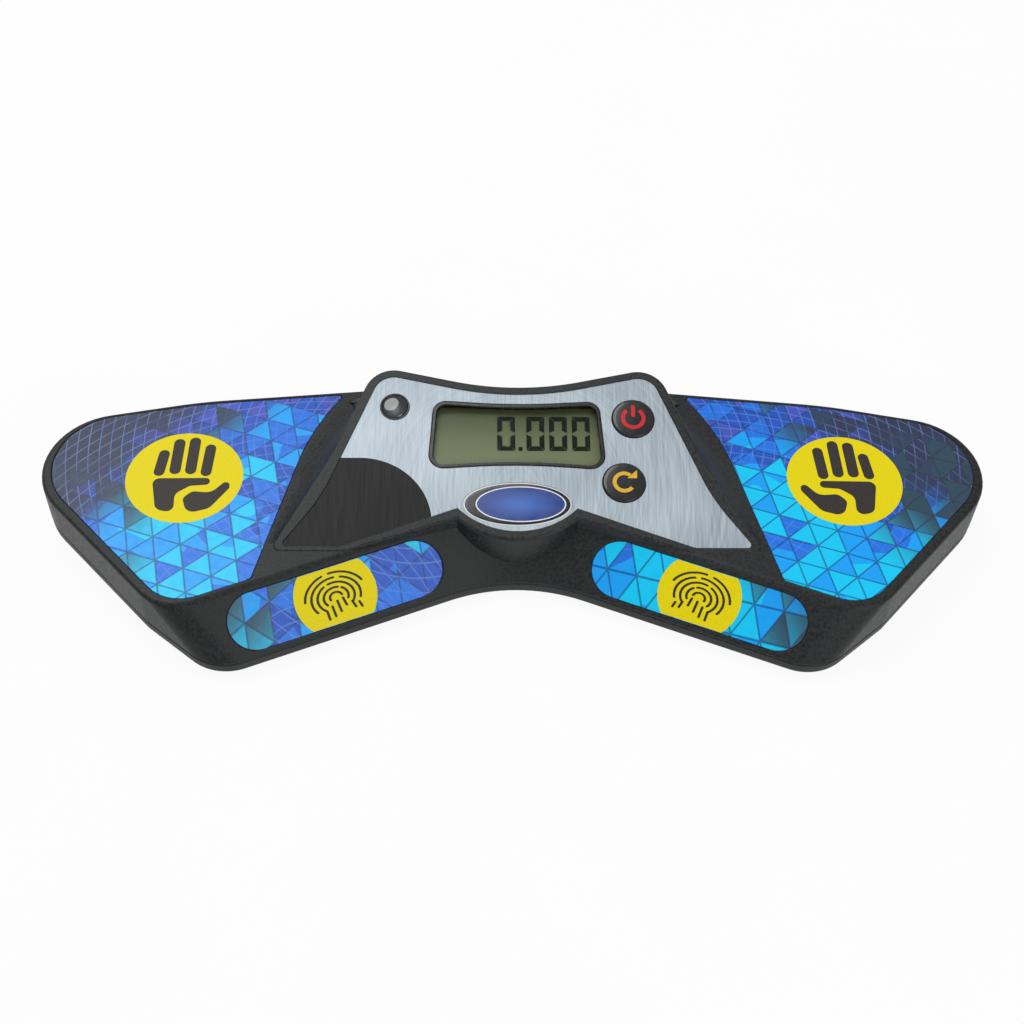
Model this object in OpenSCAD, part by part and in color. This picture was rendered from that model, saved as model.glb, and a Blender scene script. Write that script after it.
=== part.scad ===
// Speed cube timer: a bow-shaped touch timer with a raised console, two palm pads on the
// wings and two finger pads on the sloped front band. Millimetres, +Z up, +Y to the rear,
// origin at the middle of the bounding box on the table.

/* [Case outline] */
// Overall width, tip to tip
body_w = 292; // [284:1:304]
// Overall depth, front corners to rear edge
body_d = 97; // [94:0.5:102]
// Radius of the wing tips in plan
tip_r = 22.5; // [20:0.5:25]
// Distance of the wing tip centres behind the middle
tip_y = 15.1; // [12:0.1:17]
// Sweep of the front edge from the long axis, degrees
front_sweep = 22.4; // [21:0.1:24]
// Radius of the front corners at the base
front_r = 15.5; // [13:0.5:17]
// Distance of the front corner centres inside the tip centres
front_in = 37.8; // [35:0.2:40]
// Radius of the notch between the two halves of the front edge
notch_r = 53; // [45:1:58]
// Direction of the wing sides' normal, degrees
side_angle = -42.4; // [-44:0.2:-41]
// Length of the straight wing side in front of the tip
side_len = 44.5; // [42:0.5:46]
// Direction of the rear edge's normal at the tips, degrees
rear_angle = 78; // [76:0.5:80]
// Half length of the straight middle of the rear edge
back_x = 46; // [42:1:50]

/* [Case heights] */
// Height of the feet below the base
foot_h = 1; // [0.8:0.1:1.6]
// Height of the base strip below the parting line
base_h = 4.5; // [4.2:0.1:5.5]
// Height of the upper case from the parting line to the wing tops
upper_h = 14.2; // [13.6:0.2:16]
// Run of the sloped front band, measured level
band_run = 16.3; // [15:0.1:17.5]
// Wall thickness of both cases
wall = 2.4; // [1.8:0.1:2.8]
// Thickness of the wing tops under the pads
skin = 2.2; // [1.8:0.1:2.8]
// Rounding of the upper case's ridge
ridge_r = 1.2; // [0.6:0.1:1.6]
// Height of the base's lip inside the upper case
lip_h = 1.5; // [1:0.1:2]
// Thickness of that lip
lip_t = 1.2; // [1:0.1:1.6]

/* [Console] */
// Tilt of the fascia, rising to the rear, degrees
fascia_tilt = 14.2; // [13:0.1:15]
// Height of the fascia plane above the table over the origin
fascia_z = 24.3; // [23.8:0.1:26]
// Half width of the console rim at its front
rim_front_x = 74.3; // [72:0.1:76]
// Half width of the console rim at its waist
rim_waist_x = 56.6; // [55:0.1:58.5]
// Half width of the console rim at its rear corners
rim_rear_x = 43.8; // [42:0.1:46]
// Distance of the rim's front corners in front of the middle
rim_front_y = 17.8; // [17:0.1:18.2]
// Distance of the rim's rear corners behind the middle
rim_rear_y = 44; // [42:0.1:45]
// Radius of the rim's rear corners
rim_rear_r = 9.5; // [7:0.5:11]
// Half width of the flared foot at the flank's middle
foot_side_x = 63.7; // [62:0.1:66]
// Radius of the round tongue in the middle of the console's front
tongue_r = 27.8; // [26:0.1:29]
// Distance of the tongue's centre behind the middle
tongue_y = 14; // [13:0.1:15]
// Depth of the label recess below the rim
label_sink = 0.8; // [0.6:0.1:1.2]
// Thickness of the console's top under the label
fascia_skin = 2; // [1.6:0.1:2.4]

/* [Label and badge] */
// Thickness of the metal-look label
label_t = 0.5; // [0.3:0.1:0.6]
// Width of the black rim between tongue edge and label
rim_w = 2.3; // [2.1:0.1:3]
// Half length of the oval badge plate
badge_a = 16.5; // [14:0.5:18]
// Half width of the oval badge plate
badge_b = 7.3; // [6:0.1:8]
// Thickness of the oval badge plate
badge_t = 1; // [0.8:0.1:1.2]
// Distance of the badge's centre up the fascia from the origin
badge_v = -2.3; // [-2.6:0.1:-1.6]

/* [Display] */
// Half width of the display frame at its lower corners
lcd_low_x = 27.4; // [26:0.1:28.5]
// Half width of the display frame at its upper corners
lcd_high_x = 25.7; // [25:0.1:28]
// Lower edge of the display frame, up the fascia
lcd_low_v = 9.3; // [8.8:0.1:10]
// Upper edge of the display frame, up the fascia
lcd_high_v = 33.2; // [32:0.1:34]
// Width of the display frame's black edge
lcd_edge = 1.3; // [1:0.1:1.8]
// Thickness of the clear window
window_t = 1.2; // [0.8:0.1:1.5]
// Thickness of the liquid crystal glass
glass_t = 2.2; // [1.8:0.1:2.6]

/* [Buttons] */
// Radius of both button caps
button_r = 6.5; // [5.5:0.1:7]
// Gap round a button cap in its hole
button_gap = 0.25; // [0.2:0.05:0.35]
// Distance of the power button to the right of the middle
power_x = 36.1; // [35:0.1:36.8]
// Distance of the power button up the fascia
power_v = 27; // [26:0.1:27.6]
// Distance of the reset button to the right of the middle
reset_x = 32.5; // [31:0.1:34]
// Distance of the reset button up the fascia
reset_v = 5; // [4.4:0.1:5.6]
// Travel of the buttons
button_travel = 0.5; // [0.3:0.1:0.6]
// Radius of the status lens
lens_r = 3.9; // [3:0.1:4.3]
// Distance of the status lens to the left of the middle
lens_x = 37.7; // [36:0.1:38.5]
// Distance of the status lens up the fascia
lens_v = 30.8; // [30:0.1:31.2]

/* [Pads] */
// Depth of the pad recesses
pad_sink = 0.7; // [0.6:0.1:1]
// Thickness of the printed pads
pad_t = 0.5; // [0.3:0.1:0.6]
// Gap round a pad in its recess
pad_gap = 0.1; // [0.05:0.05:0.2]
// Width of the rim outside a palm pad along the wing side
pad_rim_side = 3.2; // [2.6:0.1:3.8]
// Width of the rim outside a palm pad elsewhere
pad_rim = 1.5; // [1.3:0.1:2]
// Width of a finger pad
finger_w = 17.4; // [16:0.1:18]
// Distance of a finger pad's inner end from the middle, along the band
finger_in = 21.4; // [20.8:0.1:24]
// Distance of a finger pad's outer end from the middle, along the band
finger_out = 88.2; // [84:0.1:90]

/* [Inside] */
// Depth of the board's top below the fascia plane
board_depth = 8.5; // [8.3:0.1:8.8]
// Thickness of the main board
board_t = 1.6; // [1.2:0.2:1.6]
// Half width of the main board
board_x = 43; // [42:0.5:44]
// Front edge of the board, up the fascia
board_low_v = -3; // [-3.5:0.1:-2.5]
// Rear edge of the board, up the fascia
board_high_v = 32.8; // [32:0.1:33]
// Radius of one AAA cell
cell_r = 5.25; // [5:0.05:5.25]
// Length of one AAA cell with its button
cell_len = 44.5; // [43:0.5:44.5]
// Distance between the axes of the two cells
cell_pitch = 11.5; // [11:0.1:12]
// Distance of the battery bay's centre in front of the rear edge
bay_rear = 28.9; // [28.5:0.1:29.5]
// Thickness of the battery door
door_t = 1.6; // [1.5:0.1:1.7]
// Radius of the door's hinge pins
pin_r = 0.55; // [0.45:0.05:0.6]
// Radius of the data jack's bore, for a 3.5 mm plug
jack_r = 1.8; // [1.75:0.05:2.6]
// Length of the data jack's bore
jack_len = 11; // [9:0.5:12]

/* [Base] */
// Radius of the round feet
foot_r = 5; // [4:0.5:6]
// Depth that a foot is seated in the base
foot_seat = 0.8; // [0.6:0.1:1]
// Radius of the sockets for the mat's studs
socket_r = 4; // [3:0.1:5]
// Depth of the sockets for the mat's studs
socket_len = 5; // [4:0.5:7]
// Distance of the sockets from the middle
socket_x = 62; // [56:1:70]
// Shank radius of the case screws
screw_r = 1.25; // [1:0.05:1.4]
// Head radius of the case screws
head_r = 2.4; // [2.1:0.1:2.6]

/* [Hidden] */
$fn = 64;
eps = 0.01;
arc_steps = 6;          // chords in each rounded corner of an outline

base_z = foot_h;                      // underside of the base
part_z = base_z + base_h;             // parting line
wing_z = part_z + upper_h;            // wing tops
band_slope = atan2(upper_h, band_run);
floor_t = 2;                          // floor of the base
floor_z = base_z + floor_t;
front_normal = -90 - front_sweep;

tip_c = [body_w / 2 - tip_r, tip_y];
front_c = [tip_c.x - front_in, front_r - body_d / 2];

// --- plane geometry ---------------------------------------------------------------------
function dir(a) = [cos(a), sin(a)];
function unit(v) = v / norm(v);
function flip(p) = [-p[0], p[1], p[2]];

// Where the line through p with normal angle a crosses the line through q with normal angle b
function meet(p, a, q, b) =
  let (d = sin(b - a), s = p * dir(a), t = q * dir(b))
  [(s * sin(b) - t * sin(a)) / d, (t * cos(a) - s * cos(b)) / d];

// Corner of the two tangents of a circle whose normals point along a and b
function corner(c, r, a, b) = meet(c + r * dir(a), a, c + r * dir(b), b);

// Normal angle of the tangent that leaves a circle for point p
function aim(c, r, p) = atan2(p.y - c.y, p.x - c.x) - acos(r / norm(p - c));

// A whole outline from its right half, whose first corner may lie on the centre line
function both(right) = concat(right,
  [for (i = [len(right) - 1:-1:0]) if (abs(right[i][0]) > eps) flip(right[i])]);

function turn_sign(a, b, c) = sign((b.x - a.x) * (c.y - b.y) - (b.y - a.y) * (c.x - b.x));

// Points of one corner [x, y, r] rounded by its radius
function arc(a, b, c) =
  let (
    p = [b[0], b[1]],
    u = unit([a[0], a[1]] - p),
    v = unit([c[0], c[1]] - p),
    half = acos(max(-1, min(1, u * v))) / 2,
    s = turn_sign(a, b, c),
    m = p + unit(u + v) * b[2] / sin(half),
    from = p + u * b[2] / tan(half) - m,
    sweep = s * (180 - 2 * half)
  )
  [for (k = [0:arc_steps])
    let (t = sweep * k / arc_steps)
    m + [from.x * cos(t) - from.y * sin(t), from.x * sin(t) + from.y * cos(t)]];

// An outline with every corner rounded
function rounded(cs) =
  let (n = len(cs))
  [for (i = [0:n - 1]) each arc(cs[(i + n - 1) % n], cs[i], cs[(i + 1) % n])];

// The same corners moved in by d, so that the rounded outline is parallel to the first
function inset(cs, d) =
  let (n = len(cs))
  [for (i = [0:n - 1])
    let (
      a = cs[(i + n - 1) % n],
      b = cs[i],
      c = cs[(i + 1) % n],
      e = unit([b[0] - a[0], b[1] - a[1]]),
      f = unit([c[0] - b[0], c[1] - b[1]]),
      g = [-e.y, e.x],
      h = [-f.y, f.x],
      m = (g + h) * d / (1 + g * h)
    )
    [b[0] + m.x, b[1] + m.y, max(0.3, b[2] - d * turn_sign(a, b, c))]];

// The same corners with every radius raised to at least r
function soften(cs, r) = [for (c = cs) [c[0], c[1], max(r, c[2])]];

function mix(a, b, t) = a + (b - a) * t;
function at_height(outline, z) = [for (p = outline) [p.x, p.y, z]];

// Triangles that close a ring whose front and rear edges each run one way along X: i walks
// the front edge and j the rear edge, from the left end to the right end
function cap(ring, i, j, left) =
  left == 0 ? [] :
  let (n = len(ring), a = (i + 1) % n, b = (j + n - 1) % n)
  ring[a].x < ring[b].x
    ? concat([[i, a, j]], cap(ring, a, j, left - 1))
    : concat([[i, b, j]], cap(ring, i, b, left - 1));

function closing(ring) =
  let (
    n = len(ring),
    low = min([for (p = ring) p.x]),
    m = [for (k = [0:n - 1]) if (ring[k].x == low) k][0]
  )
  cap(ring, m, (m + n - 1) % n, n - 2);

// Closed solid through a stack of matching rings, each counter-clockwise seen from above
module skin_through(rings) {
  n = len(rings[0]);
  top = (len(rings) - 1) * n;
  polyhedron(
    points = [for (ring = rings) each ring],
    faces = concat(
      closing(rings[0]),
      [for (t = closing(rings[len(rings) - 1])) [top + t[2], top + t[1], top + t[0]]],
      [for (k = [0:len(rings) - 2], i = [0:n - 1]) [k * n + i, (k + 1) * n + i, (k + 1) * n + (i + 1) % n]],
      [for (k = [0:len(rings) - 2], i = [0:n - 1]) [k * n + i, (k + 1) * n + (i + 1) % n, k * n + (i + 1) % n]]
    ),
    convexity = 10
  );
}

// --- case outlines ----------------------------------------------------------------------
// Corners of the base outline: notch, front corner, side knee, tip, rear knee, back
side_point = tip_c + tip_r * dir(side_angle) + side_len * dir(side_angle - 90);
flare_normal = aim(front_c, front_r, side_point);
front_corner = corner(front_c, front_r, front_normal, flare_normal);
tip_corner = corner(tip_c, tip_r, side_angle, rear_angle);
rear_knee = tip_corner + 68.1 * dir(rear_angle + 90);
back_corner = [back_x, body_d / 2];
notch_corner = meet(front_corner, front_normal, [0, 0], 0);
ridge_notch = notch_corner + [0, band_run / cos(front_sweep)];
ridge_corner = meet(front_corner, flare_normal, ridge_notch, front_normal);

base_right = [
  [0, notch_corner.y, notch_r],
  [front_corner.x, front_corner.y, front_r],
  [side_point.x, side_point.y, 13],
  [tip_corner.x, tip_corner.y, tip_r],
  [rear_knee.x, rear_knee.y, 150],
  [back_corner.x, back_corner.y, 60]
];
ridge_right = [
  [0, ridge_notch.y, notch_r + band_run],
  [ridge_corner.x, ridge_corner.y, 13.8],
  base_right[2], base_right[3], base_right[4], base_right[5]
];

// Corners of the upper case's outline at height z
function case_corners(z) = both(mix(base_right, ridge_right, (z - part_z) / upper_h));

// Console outlines in plan: rim, and the foot of its flared flanks
rim_right = [
  [0, -1.2, 30],
  [52, -rim_front_y, 6],
  [rim_front_x, -rim_front_y, 2.2],
  [rim_waist_x, 14.2, 60],
  [rim_rear_x, rim_rear_y, rim_rear_r],
  [0, rim_rear_y - 9.2, 95]
];
foot_right = [
  [0, -1.2, 30],
  [52, -rim_front_y, 6],
  [rim_front_x + 1.8, -rim_front_y, 2.2],
  [foot_side_x, 31, 92],
  [51.5, body_d / 2 - 3.6, 6],
  [0, body_d / 2 - 4, 95]
];
label_right = [
  [0, 3, 20],
  [53, 1.2 - rim_front_y, 4],
  [rim_front_x - 3.1, 1.2 - rim_front_y, 1.2],
  [rim_waist_x + 2.7, -0.2, 60],
  [rim_rear_x - 1.7, rim_rear_y - 1.6, 6.5],
  [0, rim_rear_y - 10.8, 95]
];
label_v = 14.2;
lcd_right = [
  [0, lcd_low_v + 1.9, 200],
  [lcd_low_x, lcd_low_v, 4.6],
  [lcd_high_x, lcd_high_v, 4.2],
  [0, lcd_high_v - 1.6, 200]
];

function fascia_at(p) = fascia_z + p.y * tan(fascia_tilt);

// Points of a ring in the fascia's own frame: x, up the slope, out of the plane
function in_fascia(ring) =
  [for (p = ring)
    [p.x,
      p.y * cos(fascia_tilt) + (p.z - fascia_z) * sin(fascia_tilt),
      (p.z - fascia_z) * cos(fascia_tilt) - p.y * sin(fascia_tilt)]];

// --- placing ----------------------------------------------------------------------------
// On the fascia: x to the right, y up the slope, z out of the rim's plane
module on_fascia(x = 0, v = 0, w = 0) {
  translate([0, 0, fascia_z])
    rotate([fascia_tilt, 0, 0])
      translate([x, v, w])
        children();
}

// On a front band: x outwards along the band, y up its slope, z out of its face
module on_band(side) {
  mirror([side < 0 ? 1 : 0, 0, 0])
    translate([0, notch_corner.y, part_z])
      rotate([band_slope, 0, -front_sweep])
        children();
}

module each_side() {
  for (side = [-1, 1])
    mirror([side < 0 ? 1 : 0, 0, 0])
      children();
}

// Everything below the fascia plane moved by w along its normal
module under_fascia(w) {
  on_fascia(0, 0, w - 60)
    translate([-100, -80, 0])
      cube([200, 160, 60]);
}

// --- palm pads --------------------------------------------------------------------------
// Corners of the right palm pad's recess, kept clear of the console's foot
pad_tip = [tip_c.x - 1, tip_c.y + 1.1];
pad_tip_r = tip_r - pad_rim - 0.2;
pad_side_p = side_point - pad_rim_side * dir(side_angle);
pad_front_p = ridge_notch - pad_rim * dir(front_normal);
pad_front = meet(pad_side_p, side_angle, pad_front_p, front_normal);
pad_tip_corner = meet(pad_side_p, side_angle, pad_tip + pad_tip_r * dir(rear_angle), rear_angle);
pad_knee = rear_knee - pad_rim * dir(rear_angle + 3);
pad_inner_front = [rim_front_x + 4.2, meet(pad_front_p, front_normal, [rim_front_x + 4.2, 0], 0).y];
pad_inner_rear = [54.6, pad_knee.y + (pad_knee.x - 54.6) * 0.1];
palm_outline = [
  [pad_inner_front.x, pad_inner_front.y, 1.2],
  [pad_front.x, pad_front.y, 13],
  [pad_tip_corner.x, pad_tip_corner.y, pad_tip_r],
  [pad_knee.x, pad_knee.y, 150],
  [pad_inner_rear.x, pad_inner_rear.y, 1],
  [foot_side_x + 0.7, 31, 80]
];

module palm_shape(d) {
  polygon(rounded(inset(palm_outline, d)));
}

// --- finger pads ------------------------------------------------------------------------
slope_len = norm([band_run, upper_h]);
finger_v = slope_len / 2 - 0.3;

module finger_shape(d) {
  r = finger_w / 2 - d;
  translate([finger_in + finger_w / 2, finger_v])
    circle(r);
  translate([finger_out - finger_w / 2, finger_v])
    circle(r);
  translate([finger_in + finger_w / 2, finger_v - r])
    square([finger_out - finger_in - finger_w, 2 * r]);
}

// --- fastener and foot places -----------------------------------------------------------
screw_at = [[tip_c.x + 2.5, tip_c.y - 1], [front_c.x + 2, front_c.y + 7], [70.5, 36]];
foot_at = [[tip_c.x - 12, tip_c.y - 4], [front_c.x - 9, front_c.y + 0.5], [43, 40]];
boss_r = 3.2;
screw_z = floor_z + 0.4;              // underside of a case screw's head
shank_top = wing_z - skin - 1.2;      // tip of a case screw

// --- battery bay ------------------------------------------------------------------------
bay_x = cell_len / 2 + 2.6;           // half length inside, with a contact at each end
bay_y = body_d / 2 - bay_rear;        // centre of the bay
bay_half_y = cell_pitch / 2 + cell_r + 0.5;
cell_z = base_z + door_t + 0.4 + cell_r;
bay_top = cell_z + cell_r + 0.35;
bay_roof = 1.1;
bay_wall = 1.2;
seat_gap = 0.2;                       // clearance round the battery door
door_x = bay_x + 1.4;                 // half length of the door
barrel_r = 0.8;                       // rounded front edge of the door, round its pins
pin_y = bay_y - bay_half_y - 0.4;     // axis of the door's hinge pins
pin_z = base_z + barrel_r + 0.05;
pin_len = 1.6;
door_rear = bay_y + bay_half_y + 1.6;

// --- electronics under the fascia, in depths below its plane -------------------------------
ceiling = label_sink + fascia_skin;   // underside of the fascia's skin
window_top = 1;
glass_top = ceiling + 0.15;
glass_x = lcd_low_x - 0.8;
glass_low_v = lcd_low_v + 0.8;
glass_high_v = lcd_high_v - 1.2;
holder_w = 0.8;
badge_depth = label_sink + 0.4;
board_screw_at = [[39.5, 15.5], [-39.5, 15.5], [14, 1.5], [-14, 1.5]];
switch_side = 6;
switch_h = 3.5;
plunger_r = 1.7;
plunger_out = 0.5;                    // how far a plunger stands out of its switch
flange_w = 0.9;                       // how far a cap's flange reaches under the skin
flange_t = 0.7;
led_r = 1.5;

// --- data jack ----------------------------------------------------------------------------
jack_z = 9.3;
jack_nose_r = jack_r + 1.2;
jack_y = body_d / 2 - 0.3;            // mouth of the jack
jack_body = [9, 12, 8];
socket_y = -22;

// --- sensors under the palm pads ----------------------------------------------------------
sensor_x = 102;
sensor_r = 18;

// --- upper case -------------------------------------------------------------------------
room_top = wing_z - skin - pad_sink;  // underside of the wing tops
skirt_z = room_top - 1.2;             // lower end of the console's skirt
seam = 0.05;                          // clearance between console and wings
tongue_cut = -1;                      // rear end of the tongue, in front of the board
skirt_in = 0.6;                       // how far the skirt lies inside the rim

module wing_body() {
  skin_through(concat(
    [at_height(rounded(case_corners(part_z)), part_z)],
    [for (a = [0:30:90])
      let (z = wing_z - ridge_r * (1 - sin(a)))
      at_height(rounded(inset(case_corners(z), ridge_r * (1 - cos(a)))), z)]
  ));
}

// Console with concave flared flanks: each ring lies between the foot and the rim, and the
// last two go round the label's recess
module console_body() {
  foot = rounded(both(foot_right));
  rim = rounded(both(rim_right));
  skirt = rounded(inset(both(rim_right), skirt_in));
  edge = 0.8;
  flank = [[0, 0], [0.3, 0.13], [0.56, 0.33], [0.77, 0.58], [0.92, 0.82]];
  n = len(foot);
  on_fascia()
    skin_through(concat(
      [in_fascia(at_height(skirt, skirt_z)), in_fascia(at_height(skirt, wing_z))],
      [for (f = flank)
        in_fascia([for (i = [0:n - 1])
          let (p = mix(foot[i], rim[i], f[0]))
          [p.x, p.y, mix(wing_z, fascia_at(rim[i]) - edge, f[1])]])],
      [for (a = [0:45:90])
        [for (p = rounded(inset(both(rim_right), edge * (1 - cos(a)))))
          [p.x, p.y / cos(fascia_tilt), -edge * (1 - sin(a))]]],
      [at_height(rounded(both(label_right)), 0), at_height(rounded(both(label_right)), -label_sink)]
    ));
}

// Front part of a round tongue, which reaches down in front of the batteries
module tongue(d) {
  intersection() {
    translate([0, tongue_y, part_z + 2])
      cylinder(r = tongue_r - d, h = 40);
    translate([-50, tongue_cut - d - 80, 0])
      cube([100, 80, 80]);
  }
}

// Room inside the wings, with a wedge under each front band
module wing_room() {
  translate([0, 0, part_z - 1])
    linear_extrude(room_top - part_z + 1)
      polygon(rounded(soften(inset(case_corners(room_top), wall), 3)));
  each_side()
    intersection() {
      translate([0, 0, part_z - 1])
        linear_extrude(room_top - part_z + 0.5)
          polygon(rounded(soften(inset(case_corners(part_z), wall), 3)));
      on_band(1)
        translate([13, -20, -30 - wall * sin(band_slope)])
          cube([75, 60, 30]);
    }
}

// The console stands on the wing tops and reaches down through their opening with a skirt
module skirt_shape(d) {
  polygon(rounded(inset(both(rim_right), d)));
}

// Room inside the console and its tongue
module console_room() {
  intersection() {
    union() {
      translate([0, 0, skirt_z - 1])
        linear_extrude(40)
          polygon(rounded(soften(inset(both(rim_right), 3.5), 3)));
      translate([0, tongue_y, part_z + 1])
        cylinder(r = tongue_r - 3, h = 40);
      translate([-board_x - 1, 10, skirt_z - 1])
        cube([2 * board_x + 2, 25.5, 10]);
    }
    under_fascia(-ceiling);
  }
}

// The label's round front over the tongue, which ends under the display
module label_front(d) {
  intersection() {
    translate([0, label_v])
      circle(tongue_r - rim_w - d);
    translate([-tongue_r, -tongue_r])
      square([2 * tongue_r, tongue_r]);
  }
}

// Outline of the label, in the fascia's own plane
module label_shape(d) {
  polygon(rounded(inset(both(label_right), d)));
  label_front(d);
}

module oval(a, b) {
  polygon([for (t = [0:7.5:352.5]) [a * cos(t), b * sin(t)]]);
}

module lcd_shape(d) {
  polygon(rounded(inset(both(lcd_right), d)));
}

module screw_bosses() {
  each_side()
    for (p = screw_at)
      translate([p.x, p.y, part_z + 0.5])
        cylinder(r = boss_r, h = room_top - part_z);
}

// Stiffening ribs under the wing tops, between sensor and rear wall
module wing_ribs() {
  each_side()
    for (x = [80, 106])
      translate([x, 37, part_z + 2])
        intersection() {
          cube([1.4, 12, room_top - part_z - 1]);
          translate([-x, -37, -part_z])
            linear_extrude(40)
              polygon(rounded(inset(case_corners(part_z), wall - 0.5)));
        }
}

module upper_case() {
  color("#232527")
    difference() {
      union() {
        difference() {
          wing_body();
          wing_room();
        }
        screw_bosses();
        wing_ribs();
      }
      // opening of the console
      translate([0, 0, part_z + 1])
        linear_extrude(30)
          skirt_shape(skirt_in - seam);
      tongue(-seam);
      // recesses of the pads
      each_side()
        translate([0, 0, wing_z - pad_sink])
          linear_extrude(4)
            palm_shape(0);
      for (side = [-1, 1])
        on_band(side)
          translate([0, 0, -pad_sink])
            linear_extrude(4)
              finger_shape(0);
      // pilot holes
      each_side()
        for (p = screw_at)
          translate([p.x, p.y, 0])
            cylinder(r = screw_r + 0.05, h = shank_top + 0.5);
      // hole of the data jack
      translate([0, body_d / 2 + 5, jack_z])
        rotate([90, 0, 0])
          cylinder(r = jack_nose_r + 0.1, h = 20);
    }
}

// --- console shell ------------------------------------------------------------------------
module board_posts() {
  for (p = board_screw_at)
    on_fascia(p.x, p.y, -board_depth)
      cylinder(r = 2.4, h = board_depth - label_sink - 0.5);
}

module console_shell() {
  color("#232527")
    difference() {
      union() {
        difference() {
          union() {
            console_body();
            difference() {
              intersection() {
                tongue(0);
                under_fascia(0);
              }
              on_fascia(0, 0, -label_sink)
                linear_extrude(4)
                  label_shape(0);
            }
          }
          console_room();
        }
        board_posts();
      }
      // recess of the label over the tongue
      on_fascia(0, 0, -label_sink)
        linear_extrude(4)
          label_front(0);
      // recess of the badge
      on_fascia(0, badge_v, -badge_depth)
        linear_extrude(2)
          oval(badge_a + 0.1, badge_b + 0.1);
      // window opening
      on_fascia(0, 0, -6)
        linear_extrude(10)
          lcd_shape(0);
      // button and lens holes
      on_fascia(power_x, power_v, -6)
        cylinder(r = button_r + button_gap, h = 10);
      on_fascia(reset_x, reset_v, -6)
        cylinder(r = button_r + button_gap, h = 10);
      on_fascia(-lens_x, lens_v, -6)
        cylinder(r = lens_r + 0.1, h = 10);
      for (p = board_screw_at)
        on_fascia(p.x, p.y, -board_depth - 1)
          cylinder(r = 0.95, h = board_depth - label_sink - 1.1);
    }
}

// --- lower case -------------------------------------------------------------------------
module base_body() {
  edge = 1.6;
  skin_through(concat(
    [for (a = [90:-30:0])
      at_height(rounded(inset(case_corners(part_z), edge * (1 - cos(a)) + 0.1)), base_z + edge * (1 - sin(a)))],
    [at_height(rounded(inset(case_corners(part_z), 0.1)), part_z - 0.5)],
    [at_height(rounded(inset(case_corners(part_z), 0.5)), part_z - 0.5 + eps)],
    [at_height(rounded(inset(case_corners(part_z), 0.5)), part_z)]
  ));
}

module base_lip() {
  inner = case_corners(room_top);
  translate([0, 0, floor_z])
    linear_extrude(part_z + lip_h - floor_z)
      difference() {
        polygon(rounded(soften(inset(inner, wall + 0.15), 3)));
        polygon(rounded(soften(inset(inner, wall + 0.15 + lip_t), 2)));
        translate([-jack_body.x / 2 - 0.5, 0])
          square([jack_body.x + 1, body_d]);
      }
}

// Two cradle ribs that carry the data jack
module jack_cradle() {
  for (y = [jack_y - jack_body.y - 1, jack_y - 7])
    translate([-jack_body.x / 2 - 1.5, y, floor_z - 0.5])
      difference() {
        cube([jack_body.x + 3, 1.4, jack_z + 1 - floor_z]);
        translate([1.4, -1, jack_z - jack_body.z / 2 - floor_z + 0.5])
          cube([jack_body.x + 0.2, 4, jack_body.z]);
      }
}

module bay_block(d, z0, z1) {
  translate([-bay_x - d, bay_y - bay_half_y - d, z0])
    cube([2 * (bay_x + d), 2 * (bay_half_y + d), z1 - z0]);
}

module lower_case() {
  color("#3a3d3f")
    difference() {
      union() {
        difference() {
          base_body();
          translate([0, 0, floor_z])
            linear_extrude(20)
              polygon(rounded(inset(case_corners(part_z), wall)));
        }
        base_lip();
        jack_cradle();
        bay_block(bay_wall, floor_z - 1, bay_top + bay_roof);
        each_side() {
          for (p = screw_at)
            translate([p.x, p.y, floor_z - 1])
              cylinder(r = boss_r, h = part_z + 0.3 - floor_z + 1);
          translate([socket_x, socket_y, base_z + 0.5])
            cylinder(r = socket_r + 1.6, h = socket_len + 1.3);
        }
      }
      bay_block(0, 0, bay_top);
      // seat of the battery door, its rounded front edge and its hinge pins
      translate([-door_x - seat_gap, pin_y, 0])
        cube([2 * (door_x + seat_gap), door_rear + seat_gap - pin_y, base_z + door_t + seat_gap]);
      translate([-door_x - seat_gap, pin_y, 0])
        translate([0, -barrel_r - seat_gap, 0])
          cube([2 * (door_x + seat_gap), 2 * (barrel_r + seat_gap), pin_z + barrel_r + 0.1]);
      translate([-door_x - pin_len - 0.1, pin_y, pin_z])
        rotate([0, 90, 0])
          cylinder(r = pin_r + 0.06, h = 2 * (door_x + pin_len + 0.1));
      // nail notch behind the door
      translate([0, door_rear + 1, base_z])
        scale([3, 1, 0.5])
          sphere(r = 2.4);
      // sockets, screw holes and foot seats
      each_side() {
        translate([socket_x, socket_y, 0])
          cylinder(r = socket_r, h = base_z + socket_len);
        for (p = screw_at) {
          translate([p.x, p.y, 0])
            cylinder(r = screw_r + 0.25, h = 20);
          translate([p.x, p.y, 0])
            cylinder(r = head_r + 0.3, h = screw_z);
        }
        for (p = foot_at)
          translate([p.x, p.y, 0])
            cylinder(r = foot_r + 0.05, h = base_z + foot_seat);
      }
    }
}

// --- fascia -----------------------------------------------------------------------------
module fascia_label() {
  color("#a4adb5")
    difference() {
      on_fascia(0, 0, -label_sink)
        linear_extrude(label_t)
          label_shape(pad_gap);
      on_fascia(0, 0, -4)
        linear_extrude(8)
          lcd_shape(-0.1);
      on_fascia(0, badge_v, -4)
        linear_extrude(8)
          oval(badge_a + 0.1, badge_b + 0.1);
      on_fascia(power_x, power_v, -4)
        cylinder(r = button_r + button_gap, h = 8);
      on_fascia(reset_x, reset_v, -4)
        cylinder(r = button_r + button_gap, h = 8);
      on_fascia(-lens_x, lens_v, -4)
        cylinder(r = lens_r + 0.1, h = 8);
    }
}

module badge_plate() {
  color("#2a4f9c")
    on_fascia(0, badge_v, -badge_depth)
      linear_extrude(badge_t)
        oval(badge_a, badge_b);
}

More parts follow.
